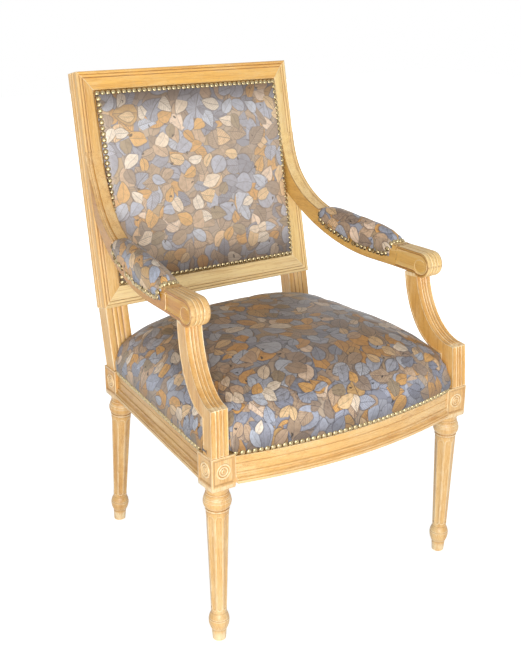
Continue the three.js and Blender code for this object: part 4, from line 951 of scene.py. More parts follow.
def stuffed(name, node, voxel):
    """A padded piece grown from its CAD form: remeshed fine and smoothed as stretched cloth is."""
    piece = object_of(name, merged_copy(node))
    remesh = piece.modifiers.new("remesh", "REMESH")
    remesh.mode = "VOXEL"
    remesh.voxel_size = voxel
    apply_modifiers(piece)
    relaxed(piece, 3)
    return piece


def relaxed(piece, rounds):
    shape = bmesh.new()
    shape.from_mesh(piece.data)
    for _ in range(rounds):
        bmesh.ops.smooth_vert(shape, verts=shape.verts, factor=0.5,
                              use_axis_x=True, use_axis_y=True, use_axis_z=True)
    shape.to_mesh(piece.data)
    shape.free()


def in_drawing(piece):
    """A piece's corners in millimetres, in the frame that the pieces are drawn in."""
    into_drawing = IN_CHAIR.inverted()
    return [into_drawing @ vert.co for vert in piece.data.vertices]


def pressed_in(piece, depths):
    """Moves each corner of a piece inwards by its own depth in metres."""
    normals = [vert.normal.copy() for vert in piece.data.vertices]
    for vert, normal, depth in zip(piece.data.vertices, normals, depths):
        vert.co -= normal * depth


def swollen(piece, holds, cap):
    """Lets the stuffing press the cloth out by at most a cap in metres. holds are 1 where it is nailed."""
    pressed_in(piece, [cap * PRESSED_SHARE * (1 - hold) for hold in holds])
    places = [vert.co.copy() for vert in piece.data.vertices]
    pins = piece.vertex_groups.new(name="nailed")
    pins.add([i for i, hold in enumerate(holds) if hold > NAILED], 1, "REPLACE")
    stuffing = piece.modifiers.new("stuffing", "CLOTH")
    stuffing.settings.use_pressure = True
    stuffing.settings.uniform_pressure_force = STUFFING_PRESSURE
    stuffing.settings.effector_weights.gravity = 0
    stuffing.settings.vertex_group_mass = "nailed"
    stuffing.point_cache.frame_end = STUFFING_FRAMES
    for moment in range(1, STUFFING_FRAMES + 1):
        bpy.context.scene.frame_set(moment)
    apply_modifiers(piece)
    bpy.context.scene.frame_set(1)
    piece.vertex_groups.clear()
    for vert, place in zip(piece.data.vertices, places):
        move = vert.co - place
        vert.co = place + move * min(1, cap / max(move.length, 1e-9))


def apply_modifiers(piece):
    graph = bpy.context.evaluated_depsgraph_get()
    mesh = bpy.data.meshes.new_from_object(piece.evaluated_get(graph), depsgraph=graph)
    piece.modifiers.clear()
    piece.data = mesh


def lay_cloth(piece, on_cloth):
    """Maps each place of a piece, in millimetres, to where it lies on the flat cloth, in metres."""
    spots = [on_cloth(place) * MM for place in in_drawing(piece)]
    cloth_map = piece.data.uv_layers.new(name="cloth")
    for loop in piece.data.loops:
        cloth_map.data[loop.index].uv = spots[loop.vertex_index]


def pulled_over(level, drop):
    """How far from the middle a place lies on cloth that is pulled level and then down by a drop."""
    return (level ** WRAP_POWER + max(0, drop) ** WRAP_POWER) ** (1 / WRAP_POWER)


def on_seat_cloth(point):
    level = Vector((point.x, point.y - SEAT_MIDDLE_DEPTH))
    shares = (level.x / SEAT_HALF_WIDTH, level.y / SEAT_HALF_DEPTH)
    outward = Vector([math.copysign(abs(share) ** 4, share) for share in shares])
    extra = pulled_over(level.length, SEAT_CROWN - point.z) - level.length
    return level + outward.normalized() * extra if outward.length > 1e-9 else level


def on_back_cloth(point):
    flat = RAKED.inverted() @ point
    return Vector((flat.x, flat.z)) + BACK_CLOTH_SHIFT


def on_arm_cloth(point):
    side = math.copysign(1, point.x)
    across = point.x - side * arm_centre_at(point.y)
    height = point.z - arm_underside_at(point.y)
    around = math.copysign(pulled_over(abs(across), PAD_CROWN - height), across)
    return Vector((side * PAD_CLOTH_SHIFT.x + around, point.y + PAD_CLOTH_SHIFT.y))


def seat_held(place):
    """1 where the seat's cloth is nailed down, and 0 where it is free, as for the back and the pads."""
    return 1 - smoothstep(place.z - RAIL_TOP, *SEAT_FREE)


def back_held(place):
    flat = RAKED.inverted() @ place
    low = flat.z - LOWER_RAIL_HEIGHT
    high = BACK_HEIGHT - CREST_HEIGHT - flat.z
    from_edge = min(low, high, OPENING_WIDTH / 2 - abs(flat.x))
    return max(1 - smoothstep(from_edge, *BACK_FREE), smoothstep(flat.y, -1, 2))


def back_edge_shade(place):
    """Painted shade where the back turns away from the light: 1 at its top and bottom nails, and 0 in its
    middle.
    """
    height = (RAKED.inverted() @ place).z
    from_edge = min(height - LOWER_RAIL_HEIGHT, 1.2 * (BACK_HEIGHT - CREST_HEIGHT - height))
    return 1 - smoothstep(from_edge, *BACK_PAINTED_SHADE)


def seat_foot_shadow(place):
    """Painted shadow under the seat's bulge: 1 at its nails, and 0 a little way up its sides."""
    return 1 - smoothstep(place.z - RAIL_TOP, *SEAT_PAINTED_SHADE)


def pad_held(place):
    return 1 - smoothstep(place.z - arm_underside_at(place.y), *PAD_FREE)


def distances_to_nails(piece, spots):
    """How far each corner of a piece lies from its nearest nail, in millimetres."""
    nails = KDTree(len(spots))
    for i, (place, _) in enumerate(spots):
        nails.insert(place, i)
    nails.balance()
    return [nails.find(place)[2] for place in in_drawing(piece)]


def upholstery(name, node, material, on_cloth, held, spots, voxel, cap, painted_shade):
    """A padded piece in its cloth, swollen between the nails that hold it. Its last argument says where
    painted shade darkens it.
    """
    piece = stuffed(name, node, voxel)
    near = [1 - smoothstep(distance, NAIL_RADIUS, NAIL_HOLD_REACH * NAIL_RADIUS)
            for distance in distances_to_nails(piece, spots)]
    swollen(piece, [max(held(place), hold) for place, hold in zip(in_drawing(piece), near)], cap)
    relaxed(piece, 1)
    pressed_in(piece, [NAIL_DIMPLE * MM * (1 - smoothstep(distance, 0, NAIL_DIMPLE_REACH * NAIL_RADIUS))
                       for distance in distances_to_nails(piece, spots)])
    lay_cloth(piece, on_cloth)
    # Painted shade near the nails, kept as an attribute for the cloth's material
    darker = piece.data.attributes.new("painted_shade", "FLOAT", "POINT")
    darker.data.foreach_set("value", [painted_shade(place) for place in in_drawing(piece)])
    piece.data.shade_smooth()
    piece.data.materials.clear()
    piece.data.materials.append(material)
    finer = piece.modifiers.new("finer", "SUBSURF")
    finer.levels = 1
    finer.render_levels = 1
    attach(piece, "root")
    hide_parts(node)
    return piece


# Sheets of cloth and webbing

# Rings from a stretched cloth's middle to its edge, as shares of the way out and layers of cloth
CLOTH_RINGS = ((0.02, 1), (0.3, 1), (0.55, 1), (0.75, 1), (0.88, 1), (0.955, 1), (0.962, 2), (0.995, 2),
               (1, 1))
CLOTH_HALF_THICKNESS = 0.3


def stretched_cloth(corners, centre, bulge):
    """Thin cloth pulled over an opening, with a folded hem, on a level plan. It swells down by a bulge."""
    outline = spaced(corners, HEM_PITCH)
    layers = []
    for face in (-1, 1):
        for share, folds in CLOTH_RINGS[::-face]:
            level = -bulge * (1 - share ** 2) - face * CLOTH_HALF_THICKNESS * folds
            layers.append([(*centre.lerp(point, share), level) for point in outline])
    return swept(layers)


def spaced(corners, pitch):
    """Places at most a pitch apart along a closed row of corners."""
    places = []
    for i, corner in enumerate(corners):
        following = corners[(i + 1) % len(corners)]
        count = math.ceil((following - corner).length / pitch)
        places += [corner.lerp(following, share) for share in steps(count)[:-1]]
    return places


def back_opening(inset):
    """The corners of the back frame's opening, less an inset, as distances across and up the rake."""
    half = OPENING_WIDTH / 2 - inset
    low = LOWER_RAIL_HEIGHT + inset
    high = BACK_HEIGHT - CREST_HEIGHT - inset
    return (-half, low), (half, low), (half, high), (-half, high)


def outside_back():
    corners = [Vector(corner) for corner in back_opening(0.4)]
    shape = stretched_cloth(corners, Vector((0, (corners[0].y + corners[2].y) / 2)), OUTSIDE_BACK_BULGE)
    upright = Matrix.Translation((0, OUTSIDE_BACK_DEPTH, 0)) @ Matrix.Rotation(math.pi / 2, 4, "X")
    return moved(shape, RAKED @ upright)


def dust_cover():
    """The black cloth under the frame, cut round the four corner blocks."""
    inset = DUST_COVER_INSET
    corner_x = FRONT_RAIL_END - inset
    corner_y = BLOCK_SIDE + inset
    rear_x = REAR_RAIL_END - inset
    rear_y = FRAME_DEPTH - BLOCK_SIDE - inset
    rear = FRAME_DEPTH - REAR_RAIL_SETBACK - inset
    across = [lerp(-corner_x, corner_x, share) for share in steps(16)]
    bow = [(x, front_rail_face(x) + inset) for x in across]
    right = [(corner_x, corner_y), (side_rail_face(corner_y) - inset, corner_y),
             (side_rail_face(rear_y) - inset, rear_y), (rear_x, rear_y), (rear_x, rear)]
    left = [(-x, y) for x, y in reversed(right)]
    outline = [Vector(place) for place in bow + right + left]
    shape = stretched_cloth(outline, Vector((0, SEAT_MIDDLE_DEPTH)), DUST_COVER_BULGE)
    return moved(shape, Matrix.Translation((0, 0, DUST_COVER_HEIGHT)))


def sheet_of(name, shape, material, node, on_cloth):
    """A piece of stretched cloth, cut to a size in millimetres."""
    piece = piece_of(name, shape, material, [node])
    lay_cloth(piece, on_cloth)
    return piece


def strap(start, end, crossings, place):
    """A woven strap, raised where it passes over others. crossings are (middle, passes over) pairs."""
    half = STRAP_WIDTH / 2
    outline = [(-half, 0), (half, 0), (half, STRAP_THICKNESS), (-half, STRAP_THICKNESS)]
    section = softened(outline, 0.6)
    rows = []
    for share in stations(48, end - start):
        reach = lerp(start, end, share)
        rises = [smoothstep(half + STRAP_RAMP - abs(reach - middle), 0, STRAP_RAMP - STRAP_GAP)
                 for middle, over in crossings if over]
        lift = (STRAP_THICKNESS + STRAP_GAP) * max(rises, default=0)
        rows.append([place(reach, point.x, point.y + lift) for point in section])
    return swept(rows)


def spread(count, low, high):
    """Middles of straps spread evenly over a span."""
    return [lerp(low, high, (i + 0.5) / count) for i in range(count)]


def interwoven(names, columns, rows, ends, place):
    """Straps by name, up and across, that pass over and under each other.

    ends says where a strap of each kind starts and ends, from its middle, and place where a point of one
    is, from its distances across and up and its rise."""
    straps = {}
    for way, (name, middles, others) in enumerate(zip(names, (columns, rows), (rows, columns))):
        for i, middle in enumerate(middles):
            crossings = [(other, (i + j) % 2 == way) for j, other in enumerate(others)]

            def on_strap(reach, across, rise):
                return place(reach, middle + across, rise) if way else place(middle + across, reach, rise)

            straps[f"{name}_{i + 1}"] = strap(*ends[way](middle), crossings, on_strap)
    return straps


def seat_straps():
    """The seat's straps by name: front to rear, and side to side."""
    half = side_rail_face(FRAME_DEPTH - BLOCK_SIDE) - RAIL_THICKNESS
    level = TACKING_TOP + STRAP_GAP

    def lengthwise(x):
        front = front_rail_face(abs(x) + STRAP_WIDTH / 2) + RAIL_THICKNESS - SEAT_STRAP_LANDING
        return front, FRAME_DEPTH - REAR_RAIL_SETBACK - RAIL_THICKNESS + SEAT_STRAP_LANDING

    def crosswise(y):
        reach = side_rail_face(y) - RAIL_THICKNESS + SEAT_STRAP_LANDING
        return -reach, reach

    return interwoven(("seat_webbing_lengthwise", "seat_webbing_crosswise"), spread(5, -half, half),
                      spread(4, BLOCK_SIDE, FRAME_DEPTH - BLOCK_SIDE), (lengthwise, crosswise),
                      lambda x, y, rise: (x, y, level + rise))


def back_straps():
    """The back's straps by name, in its raked rebate: upright, and across."""
    low = LOWER_RAIL_HEIGHT + REBATE_WIDTH
    high = BACK_HEIGHT - CREST_HEIGHT - REBATE_WIDTH
    level = REBATE_DEPTH - STRAP_GAP
    straps = interwoven(("back_webbing_upright", "back_webbing_across"),
                        spread(3, -CLEAR_OPENING, CLEAR_OPENING), spread(3, low, high),
                        (lambda x: (low - BACK_STRAP_LANDING, high + BACK_STRAP_LANDING),
                         lambda z: (-CLEAR_OPENING - BACK_STRAP_LANDING, CLEAR_OPENING + BACK_STRAP_LANDING)),
                        lambda x, z, rise: (x, level - rise, z))
    return {name: moved(shape, RAKED) for name, shape in straps.items()}


# Nails

def nail_head():
    profile = [(0, -2), (NAIL_RADIUS * 0.9, -2), (NAIL_RADIUS, -0.4), (NAIL_RADIUS, 0.3),
               (NAIL_RADIUS * 0.84, NAIL_RISE * 0.55), (NAIL_RADIUS * 0.5, NAIL_RISE * 0.88), (0, NAIL_RISE)]
    return turned(profile, 10)


def nail_row(name, spots, cloth, material, lean=0.35):
    """Nail heads on a cloth. spots are (place, outward direction) pairs, in millimetres.

    lean is how far each turns from the cloth's own direction to the outward one."""
    surface = BVHTree.FromObject(cloth, bpy.context.evaluated_depsgraph_get())
    heads = []
    for place, outward in spots:
        outward = Vector(outward).normalized()
        start = IN_CHAIR @ (Vector(place) + NAIL_DROP * outward)
        hit, normal, _, _ = surface.ray_cast(start, -outward, 2 * NAIL_DROP * MM)
        if hit is None:
            hit, normal, _, _ = surface.find_nearest(IN_CHAIR @ Vector(place))
        seat = IN_CHAIR.inverted() @ hit
        facing = normal.lerp(outward, lean).normalized()
        turn = facing.to_track_quat("Z", "Y").to_matrix().to_4x4()
        heads.append(moved(nail_head(), Matrix.Translation(seat) @ turn))
    rims = [vert.co.xy.length / NAIL_RADIUS for vert in nail_head().verts]
    piece = piece_of(name, joined(*heads), material, sharp=60)
    piece.data.attributes.new("rim", "FLOAT", "POINT").data.foreach_set("value", rims * len(heads))
    return piece


def along(path, pitch):
    """Places about a pitch apart along a row of places, both ends included."""
    lengths = [0]
    for a, b in zip(path, path[1:]):
        lengths.append(lengths[-1] + (b - a).length)
    count = max(1, round(lengths[-1] / pitch))
    spots = []
    segment = 0
    for i in range(count + 1):
        reach = lengths[-1] * i / count
        while segment < len(path) - 2 and lengths[segment + 1] < reach:
            segment += 1
        share = (reach - lengths[segment]) / max(1e-6, lengths[segment + 1] - lengths[segment])
        spots.append(path[segment].lerp(path[segment + 1], share))
    return spots


# Shader helpers

class Graph:
    """Adds nodes to a node tree. An input's value may be the output of another node."""

    def __init__(self, tree):
        self.tree = tree

    def put(self, socket, value):
        if isinstance(value, bpy.types.NodeSocket):
            self.tree.links.new(value, socket)
        else:
            socket.default_value = value

    def node(self, kind, inputs=(), **settings):
        made = self.tree.nodes.new("ShaderNode" + kind)
        for name, value in settings.items():
            setattr(made, name, value)
        self.fill(made.inputs, inputs)
        return made

    def fill(self, sockets, values):
        for key, value in dict(values).items():
            self.put(sockets[key], value)

    def math(self, operation, *values, clamp=False):
        return self.node("Math", enumerate(values), operation=operation, use_clamp=clamp).outputs[0]

    def fold(self, operation, *values):
        """Values joined one after the other by the same operation."""
        return reduce(partial(self.math, operation), values)

    times = partialmethod(fold, "MULTIPLY")
    plus = partialmethod(fold, "ADD")
    most = partialmethod(fold, "MAXIMUM")

    def vector(self, operation, *values):
        return self.node("VectorMath", enumerate(values), operation=operation).outputs[0]

    def parts(self, vector):
        return self.node("SeparateXYZ", {0: vector}).outputs

    def ease(self, value, start, end, low=0, high=1):
        """A value eased from low to high between a start and an end."""
        numbers = enumerate((value, start, end, low, high))
        return self.node("MapRange", numbers, interpolation_type="SMOOTHSTEP").outputs[0]

    def mix(self, share, first, second, way="MIX"):
        return self.node("Mix", {0: share, 6: first, 7: second}, data_type="RGBA", blend_type=way).outputs[2]

    def tinted(self, colour, code, share, most=1, way="MIX"):
        """A colour turned towards another, written as hex digits, by a share and at most by so much."""
        return self.mix(self.math("MULTIPLY", share, most), colour, shade(code), way)

    def darkened(self, colour, code, share, most=1):
        return self.tinted(colour, code, share, most, "MULTIPLY")

    def attribute(self, name):
        return self.node("Attribute", attribute_name=name).outputs["Fac"]

    def in_piece(self):
        """A place in its piece's own frame."""
        return self.node("TexCoord").outputs["Object"]

    def noise(self, place, scale, detail=2, roughness=0.5):
        inputs = {"Vector": place, "Scale": scale, "Detail": detail, "Roughness": roughness}
        return self.node("TexNoise", inputs).outputs[0]

    def strayed(self, place, noise_place, scale, detail, reach):
        """A place moved by a soft noise, by about half its reach along each axis."""
        noise = self.node("TexNoise", {"Vector": noise_place, "Scale": scale, "Detail": detail})
        drift = self.vector("SUBTRACT", noise.outputs["Color"], (0.5, 0.5, 0.5))
        return self.vector("ADD", place, self.vector("MULTIPLY", drift, reach))

    def bump(self, height, strength, distance):
        return self.node("Bump", {"Height": height, "Strength": strength, "Distance": distance}).outputs[0]

    def scaled(self, place, sizes):
        """A place measured in its own lengths along each axis, given in millimetres."""
        return self.vector("MULTIPLY", place, tuple(1 / (size * MM) for size in sizes))

    def group(self, tree, inputs):
        return self.node("Group", inputs, node_tree=tree).outputs

    def ramp(self, value, colours, stepped=False):
        made = self.node("ValToRGB", {0: value})
        elements = made.color_ramp.elements
        made.color_ramp.interpolation = "CONSTANT" if stepped else "LINEAR"
        while len(elements) < len(colours):
            elements.new(0.5)
        for element, (position, colour) in zip(elements, colours):
            element.position = position
            element.color = colour
        return made.outputs[0]


def shade(code):
    """A colour written as six hex digits, as the linear colour that a shader takes."""
    parts = [int(code[i:i + 2], 16) / 255 for i in (0, 2, 4)]
    return (*(part / 12.92 if part <= 0.04045 else ((part + 0.055) / 1.055) ** 2.4 for part in parts), 1)


def new_group(name, numbers, results):
    """A node group that takes a place and numbers and gives numbers, with the graph to fill it with."""
    tree = bpy.data.node_groups.new(name, "ShaderNodeTree")
    tree.interface.new_socket(name="Place", in_out="INPUT", socket_type="NodeSocketVector")
    for way, labels in (("INPUT", numbers), ("OUTPUT", results)):
        for label in labels:
            tree.interface.new_socket(name=label, in_out=way, socket_type="NodeSocketFloat")
    given = tree.nodes.new("NodeGroupInput")
    result = tree.nodes.new("NodeGroupOutput")
    return tree, Graph(tree), given.outputs, result.inputs


def new_material(name):
    """A material with its graph and its one shader."""
    material = bpy.data.materials.new(name)
    material.use_nodes = True
    return material, Graph(material.node_tree), material.node_tree.nodes["Principled BSDF"].inputs


# Leaf cloth

def leaf_layer_group():
    """Leaves strewn over a cloth, one to a cell: where they lie, their outlines, shadows, veins and tints."""
    tree, g, given, result = new_group(
        "leaf_layer", ("Leaves per metre", "Half length", "Half width", "Share present", "Fanned veins"),
        ("Leaf", "Outline", "Shadow", "Vein", "Tint", "Half"))
    cells = {"Vector": given["Place"], "Scale": given["Leaves per metre"], "Randomness": 0.85}
    cell = g.node("TexVoronoi", cells, voronoi_dimensions="2D").outputs
    borders = g.node("TexVoronoi", cells, voronoi_dimensions="2D", feature="DISTANCE_TO_EDGE").outputs
    luck = g.node("TexWhiteNoise", {"Vector": cell["Position"]}, noise_dimensions="2D")
    chances = g.node("SeparateColor", {0: luck.outputs["Color"]}).outputs
    traits = g.node("SeparateColor", {0: cell["Color"]}).outputs

    # The place on a leaf: along it from its middle, and across it from its bent middle vein
    offset = g.vector("SUBTRACT", given["Place"], cell["Position"])
    scaled = g.node("VectorMath", {0: offset, "Scale": given["Leaves per metre"]}, operation="SCALE")
    turn = {"Vector": scaled.outputs[0], "Angle": g.times(traits[0], 2 * math.pi)}
    on_leaf = g.parts(g.node("VectorRotate", turn, rotation_type="Z_AXIS").outputs[0])
    size = g.math("MULTIPLY_ADD", traits[1], 0.5, 0.72)
    half_length = g.times(given["Half length"], size)
    half_width = g.times(given["Half width"], size)
    reach = g.math("DIVIDE", on_leaf[0], half_length)
    bend = g.times(g.math("POWER", reach, 2), g.math("MULTIPLY_ADD", chances[2], 0.24, -0.12))
    side = g.plus(on_leaf[1], bend)
    across = g.math("ABSOLUTE", side)

    # The leaf's outline, its stem and what it shades
    share = g.math("MULTIPLY_ADD", reach, 0.5, 0.5, clamp=True)
    tip_power = g.math("MULTIPLY_ADD", traits[2], 0.45, 0.72)
    root = g.math("POWER", share, 0.62)
    tip = g.math("POWER", g.math("SUBTRACT", 1, share), tip_power)
    fullness = g.math("MULTIPLY_ADD", tip_power, 1.35, 1.55)
    depth_inside = g.math("SUBTRACT", g.times(root, tip, fullness, half_width), across)
    present = g.math("LESS_THAN", chances[0], given["Share present"])
    leaf = g.times(g.ease(depth_inside, -0.008, 0.012), present)
    on_stem = g.ease(g.math("ABSOLUTE", reach), 1.1, 1.2, 1, 0)
    near_outline = g.times(g.ease(g.math("ABSOLUTE", depth_inside), 0.004, 0.03, 1, 0), on_stem)
    near_stem = g.times(g.ease(across, 0.004, 0.022, 1, 0), on_stem)
    cut_off = g.times(g.ease(borders["Distance"], 0.004, 0.026, 1, 0), leaf)
    outline = g.most(g.times(g.most(near_outline, near_stem), present), cut_off)
    shadow = g.times(g.ease(depth_inside, -0.11, -0.01), on_stem, present)

    # Its veins, side by side or in a fan
    slant = g.times(g.math("DIVIDE", across, half_length), -4.2)
    straight_rib = g.plus(slant, g.times(reach, 4.6))
    from_root = g.plus(on_leaf[0], g.times(half_length, 0.3))
    fan_rib = g.times(g.math("ARCTAN2", across, from_root), 3)
    fanned = given["Fanned veins"]
    rib = g.plus(g.times(fan_rib, fanned), g.times(straight_rib, g.math("SUBTRACT", 1, fanned)))
    side_vein = g.times(g.ease(g.math("PINGPONG", rib, 0.5), 0.02, 0.17, 1, 0), 0.75)
    middle_vein = g.ease(across, 0.006, 0.024, 1, 0)
    clear_veins = g.ease(chances[2], 0.25, 0.75, 0.15, 1)
    vein = g.times(g.most(side_vein, middle_vein), leaf, clear_veins)
    g.fill(result, {"Leaf": leaf, "Outline": outline, "Shadow": shadow, "Vein": vein, "Tint": chances[1],
                    "Half": g.ease(side, -0.01, 0.01)})
    return tree


CLOTH_GROUND = ("b3a090", "bfab96", "a3a5b0", "c4ae96", "9597a4", "bda27f", "abadb8")
MIDDLE_TINTS = ("c8ad92", "a9acba", "dabb9c", "9699a8", "e4b06c", "bda389", "bcc0cf", "ab9684")
LARGE_TINTS = ("ffe4ca", "bea58e", "eab268", "b6bacb", "d6b696", "f6d0a2", "9fa3b4", "b39b86")
FANNED_TINTS = ("b8bdcd", "a8adbd", "cbd0dd", "d8ae72", "bec3d2")
SMALL_TINTS = ("ffead0", "eeba72", "bec5d6", "fff0dc", "ad997d", "ced5e3", "f8d4a2")
# Each layer's shift, leaves to the metre, half length and width, share of cells filled, fan of veins, tints
LEAF_LAYERS = (
    ((1.31, 0.47), 30, 0.7, 0.5, 0.9, 0, MIDDLE_TINTS),
    ((4.17, 2.29), 25, 0.58, 0.42, 0.6, 0, LARGE_TINTS),
    ((2.63, 8.41), 20, 0.46, 0.42, 0.36, 1, FANNED_TINTS),
    ((5.77, 6.13), 28, 0.62, 0.4, 0.42, 0, MIDDLE_TINTS),
    ((7.53, 5.11), 31, 0.62, 0.38, 0.44, 0, SMALL_TINTS),
)


def tint_ramp(g, value, codes):
    return g.ramp(value, [(i / len(codes), shade(code)) for i, code in enumerate(codes)], stepped=True)


def leaf_cloth(name, shaded_above, painted_shade, painted_paleness=0):
    """A satin-woven cloth with overlapping leaves, with painted shade on its tops above the height its first
    number gives.

    Its second number is how much painted shade darkens it where the piece's attribute says, and its third how
    much painted light pales it all over."""
    material, g, shader = new_material(name)
    layer = leaf_layer_group()
    cloth_map = g.node("UVMap", uv_map="cloth").outputs[0]
    place = g.vector("MULTIPLY", g.strayed(cloth_map, cloth_map, 60, 1.5, (0.005, 0.005, 0.005)), (1, 1, 0))
    speckle = g.noise(cloth_map, 700, 2, 0.6)
    mottle = g.ease(g.noise(cloth_map, 130, 3, 0.6), 0.42, 0.66, 0, 0.3)

    def strewn(shift, per_metre, length, width, present, fanned=0):
        return g.group(layer, {
            "Place": g.vector("ADD", place, (*shift, 0)), "Leaves per metre": per_metre,
            "Half length": length, "Half width": width, "Share present": present, "Fanned veins": fanned})

    ground = strewn((0.3, 0.7), 30, 4, 4, 1)
    colour = tint_ramp(g, ground["Tint"], CLOTH_GROUND)
    colour = g.tinted(colour, "5c5858", ground["Vein"], 0.35)
    colour = g.tinted(colour, "484344", ground["Outline"], 0.55)
    shine = ground["Tint"]
    for *laid, tints in LEAF_LAYERS:
        leaf = strewn(*laid)
        tone = tint_ramp(g, leaf["Tint"], tints)
        tone = g.darkened(tone, "8f867c", leaf["Half"], 0.12)
        tone = g.darkened(tone, "a89c90", mottle)
        tone = g.tinted(tone, "514c50", leaf["Vein"], 0.62)
        colour = g.tinted(colour, "45414a", leaf["Shadow"], 0.4)
        colour = g.mix(leaf["Leaf"], colour, tone)
        colour = g.tinted(colour, "454044", leaf["Outline"], 0.42)
        bare = g.math("SUBTRACT", 1, leaf["Leaf"])
        shine = g.plus(g.times(shine, bare), g.times(leaf["Tint"], leaf["Leaf"]))
    fleck = strewn((9.7, 3.3), 33, 0.13, 0.07, 0.22)
    colour = g.tinted(colour, "262223", fleck["Leaf"], 0.85)
    threads = g.noise(g.scaled(cloth_map, (0.5, 1.6, 1)), 1, 1)
    grime = g.most(g.ease(threads, 0.3, 0.7, 0, 0.1), g.ease(speckle, 0.55, 0.72, 0, 0.22))
    colour = g.darkened(colour, "94897d", grime)
    # Painted shade on the tops of the seat and pads: the cloth darkened above a height
    height = g.parts(g.in_piece())[2]
    top_shade = g.ease(g.math("MULTIPLY_ADD", mottle, 0.04, height), shaded_above, shaded_above + 0.07, 0, 0.7)
    colour = g.darkened(colour, "ae9f8c", top_shade)
    # Painted light, paling the cloth all over
    colour = g.mix(painted_paleness, colour, shade("ffead2"))
    # Painted shade where the piece's attribute says
    colour = g.darkened(colour, "8f8680", g.attribute("painted_shade"), painted_shade)
    weft = g.node("TexWave", {"Vector": cloth_map, "Scale": 260, "Distortion": 0.4}, bands_direction="Y")
    relief = g.math("MULTIPLY_ADD", threads, 0.6, g.times(weft.outputs["Fac"], 0.4))
    g.fill(shader, {"Base Color": colour, "Roughness": g.math("MULTIPLY_ADD", shine, -0.22, 0.52),
                    "Specular IOR Level": 0.5, "Sheen Weight": 0.06, "Sheen Roughness": 0.4,
                    "Normal": g.bump(relief, 0.25, 0.0004)})
    return material


# Limed oak

def oak_grain_group():
    """Straight oak grain along Z: its colour streaks, pale limed pores, dark flecks and relief."""
    tree, g, given, result = new_group("oak_grain", (), ("Streak", "Limed", "Fleck", "Cloud", "Relief"))
    place = given["Place"]
    bent = g.strayed(place, g.scaled(place, (60, 60, 260)), 1, 1, (0.005, 0.005, 0))
    broad = g.noise(g.scaled(bent, (11, 11, 260)), 1, 2, 0.6)
    fine = g.noise(g.scaled(bent, (1.6, 1.6, 60)), 1, 3, 0.65)
    pore = g.ease(g.noise(g.scaled(bent, (0.55, 0.55, 12)), 1, 1), 0.56, 0.68)
    short = g.ease(g.noise(g.scaled(bent, (1.3, 1.3, 9)), 1, 2, 0.6), 0.62, 0.74)
    patch = g.noise(g.scaled(place, (26, 26, 80)), 1, 3)
    streak = g.math("MULTIPLY_ADD", fine, 0.6, g.times(broad, 0.4))
    g.fill(result, {"Streak": streak, "Limed": g.times(pore, g.ease(patch, 0.35, 0.65, 0.35, 1)),
                    "Fleck": g.times(short, g.ease(patch, 0.62, 0.4)), "Cloud": patch,
                    "Relief": g.math("SUBTRACT", g.times(streak, 0.5), g.times(pore, 0.5))})
    return tree


def edge_wear_and_shade_group():
    """Where a surface is rubbed over an arris, and where darker waxes and painted shade lie in a groove."""
    tree, g, given, result = new_group("edge_wear_and_shade", (), ("Arris", "Groove"))
    turn = g.attribute("edge_turn")
    rubbed = g.noise(g.scaled(given["Place"], (6, 6, 20)), 1, 3, 0.6)
    g.fill(result, {"Arris": g.times(g.ease(turn, 0.12, 0.5), g.ease(rubbed, 0.34, 0.6, 0.3, 1)),
                    "Groove": g.times(g.ease(turn, -0.08, -0.45), g.ease(rubbed, 0.25, 0.6, 0.5, 1))})
    return tree


OAK_GRAIN = oak_grain_group()
EDGE_WEAR_AND_SHADE = edge_wear_and_shade_group()
ACROSS = (0, 90, 0)
DEEP = (90, 0, 0)
ON_RAKE = (11.35, 0, 0)


def oak(name, turn=(0, 0, 0), seed=0, body="e9b666", lime=0.15, groove_wax_and_shade=0.8, side=0):
    """Golden oak rubbed with pale lime waxes, with darker waxes and painted shade in its grooves. turn lays
    the grain another way, and side is how much painted shade darkens its faces to the left and right."""
    material, g, shader = new_material("limed_oak_" + name)
    turned_place = g.node("Mapping", {
        "Vector": g.in_piece(), "Location": (seed, seed / 2, 0),
        "Rotation": tuple(math.radians(angle) for angle in turn)}).outputs[0]
    grain = g.group(OAK_GRAIN, {"Place": turned_place})
    wear_and_shade = g.group(EDGE_WEAR_AND_SHADE, {"Place": turned_place})
    tone = g.ramp(grain["Streak"], [
        (0.34, shade("d8c4b0")), (0.44, shade("eee4da")), (0.53, shade("fbf8f4")), (0.64, shade("ffffff"))])
    cloud = g.ease(grain["Cloud"], 0.35, 0.75, lime * 0.6, lime + 0.2)
    colour = g.mix(1, g.mix(cloud, shade(body), shade("f8dda8")), tone, "MULTIPLY")
    colour = g.tinted(colour, "f8e0b4", grain["Limed"], 0.3 + lime)
    colour = g.tinted(colour, "a06e2c", grain["Fleck"], 0.5)
    # Painted shade in the grooves, together with darker waxes gathered there
    colour = g.tinted(colour, "96622e", wear_and_shade["Groove"], groove_wax_and_shade)
    colour = g.tinted(colour, "fbe6bc", wear_and_shade["Arris"], 0.8)
    # Painted shade: faces turned to the left and right darkened, as less light falls on them
    if side:
        across = g.math("ABSOLUTE", g.parts(g.node("NewGeometry").outputs["Normal"])[0])
        colour = g.darkened(colour, "dabb66", g.ease(across, 0.75, 0.95), side)
    g.fill(shader, {"Base Color": colour, "Roughness": g.ease(grain["Limed"], 0, 1, 0.34, 0.55),
                    "Normal": g.bump(grain["Relief"], 0.3, 0.0006)})
    return material


# Nails, webbing and the plain cloths

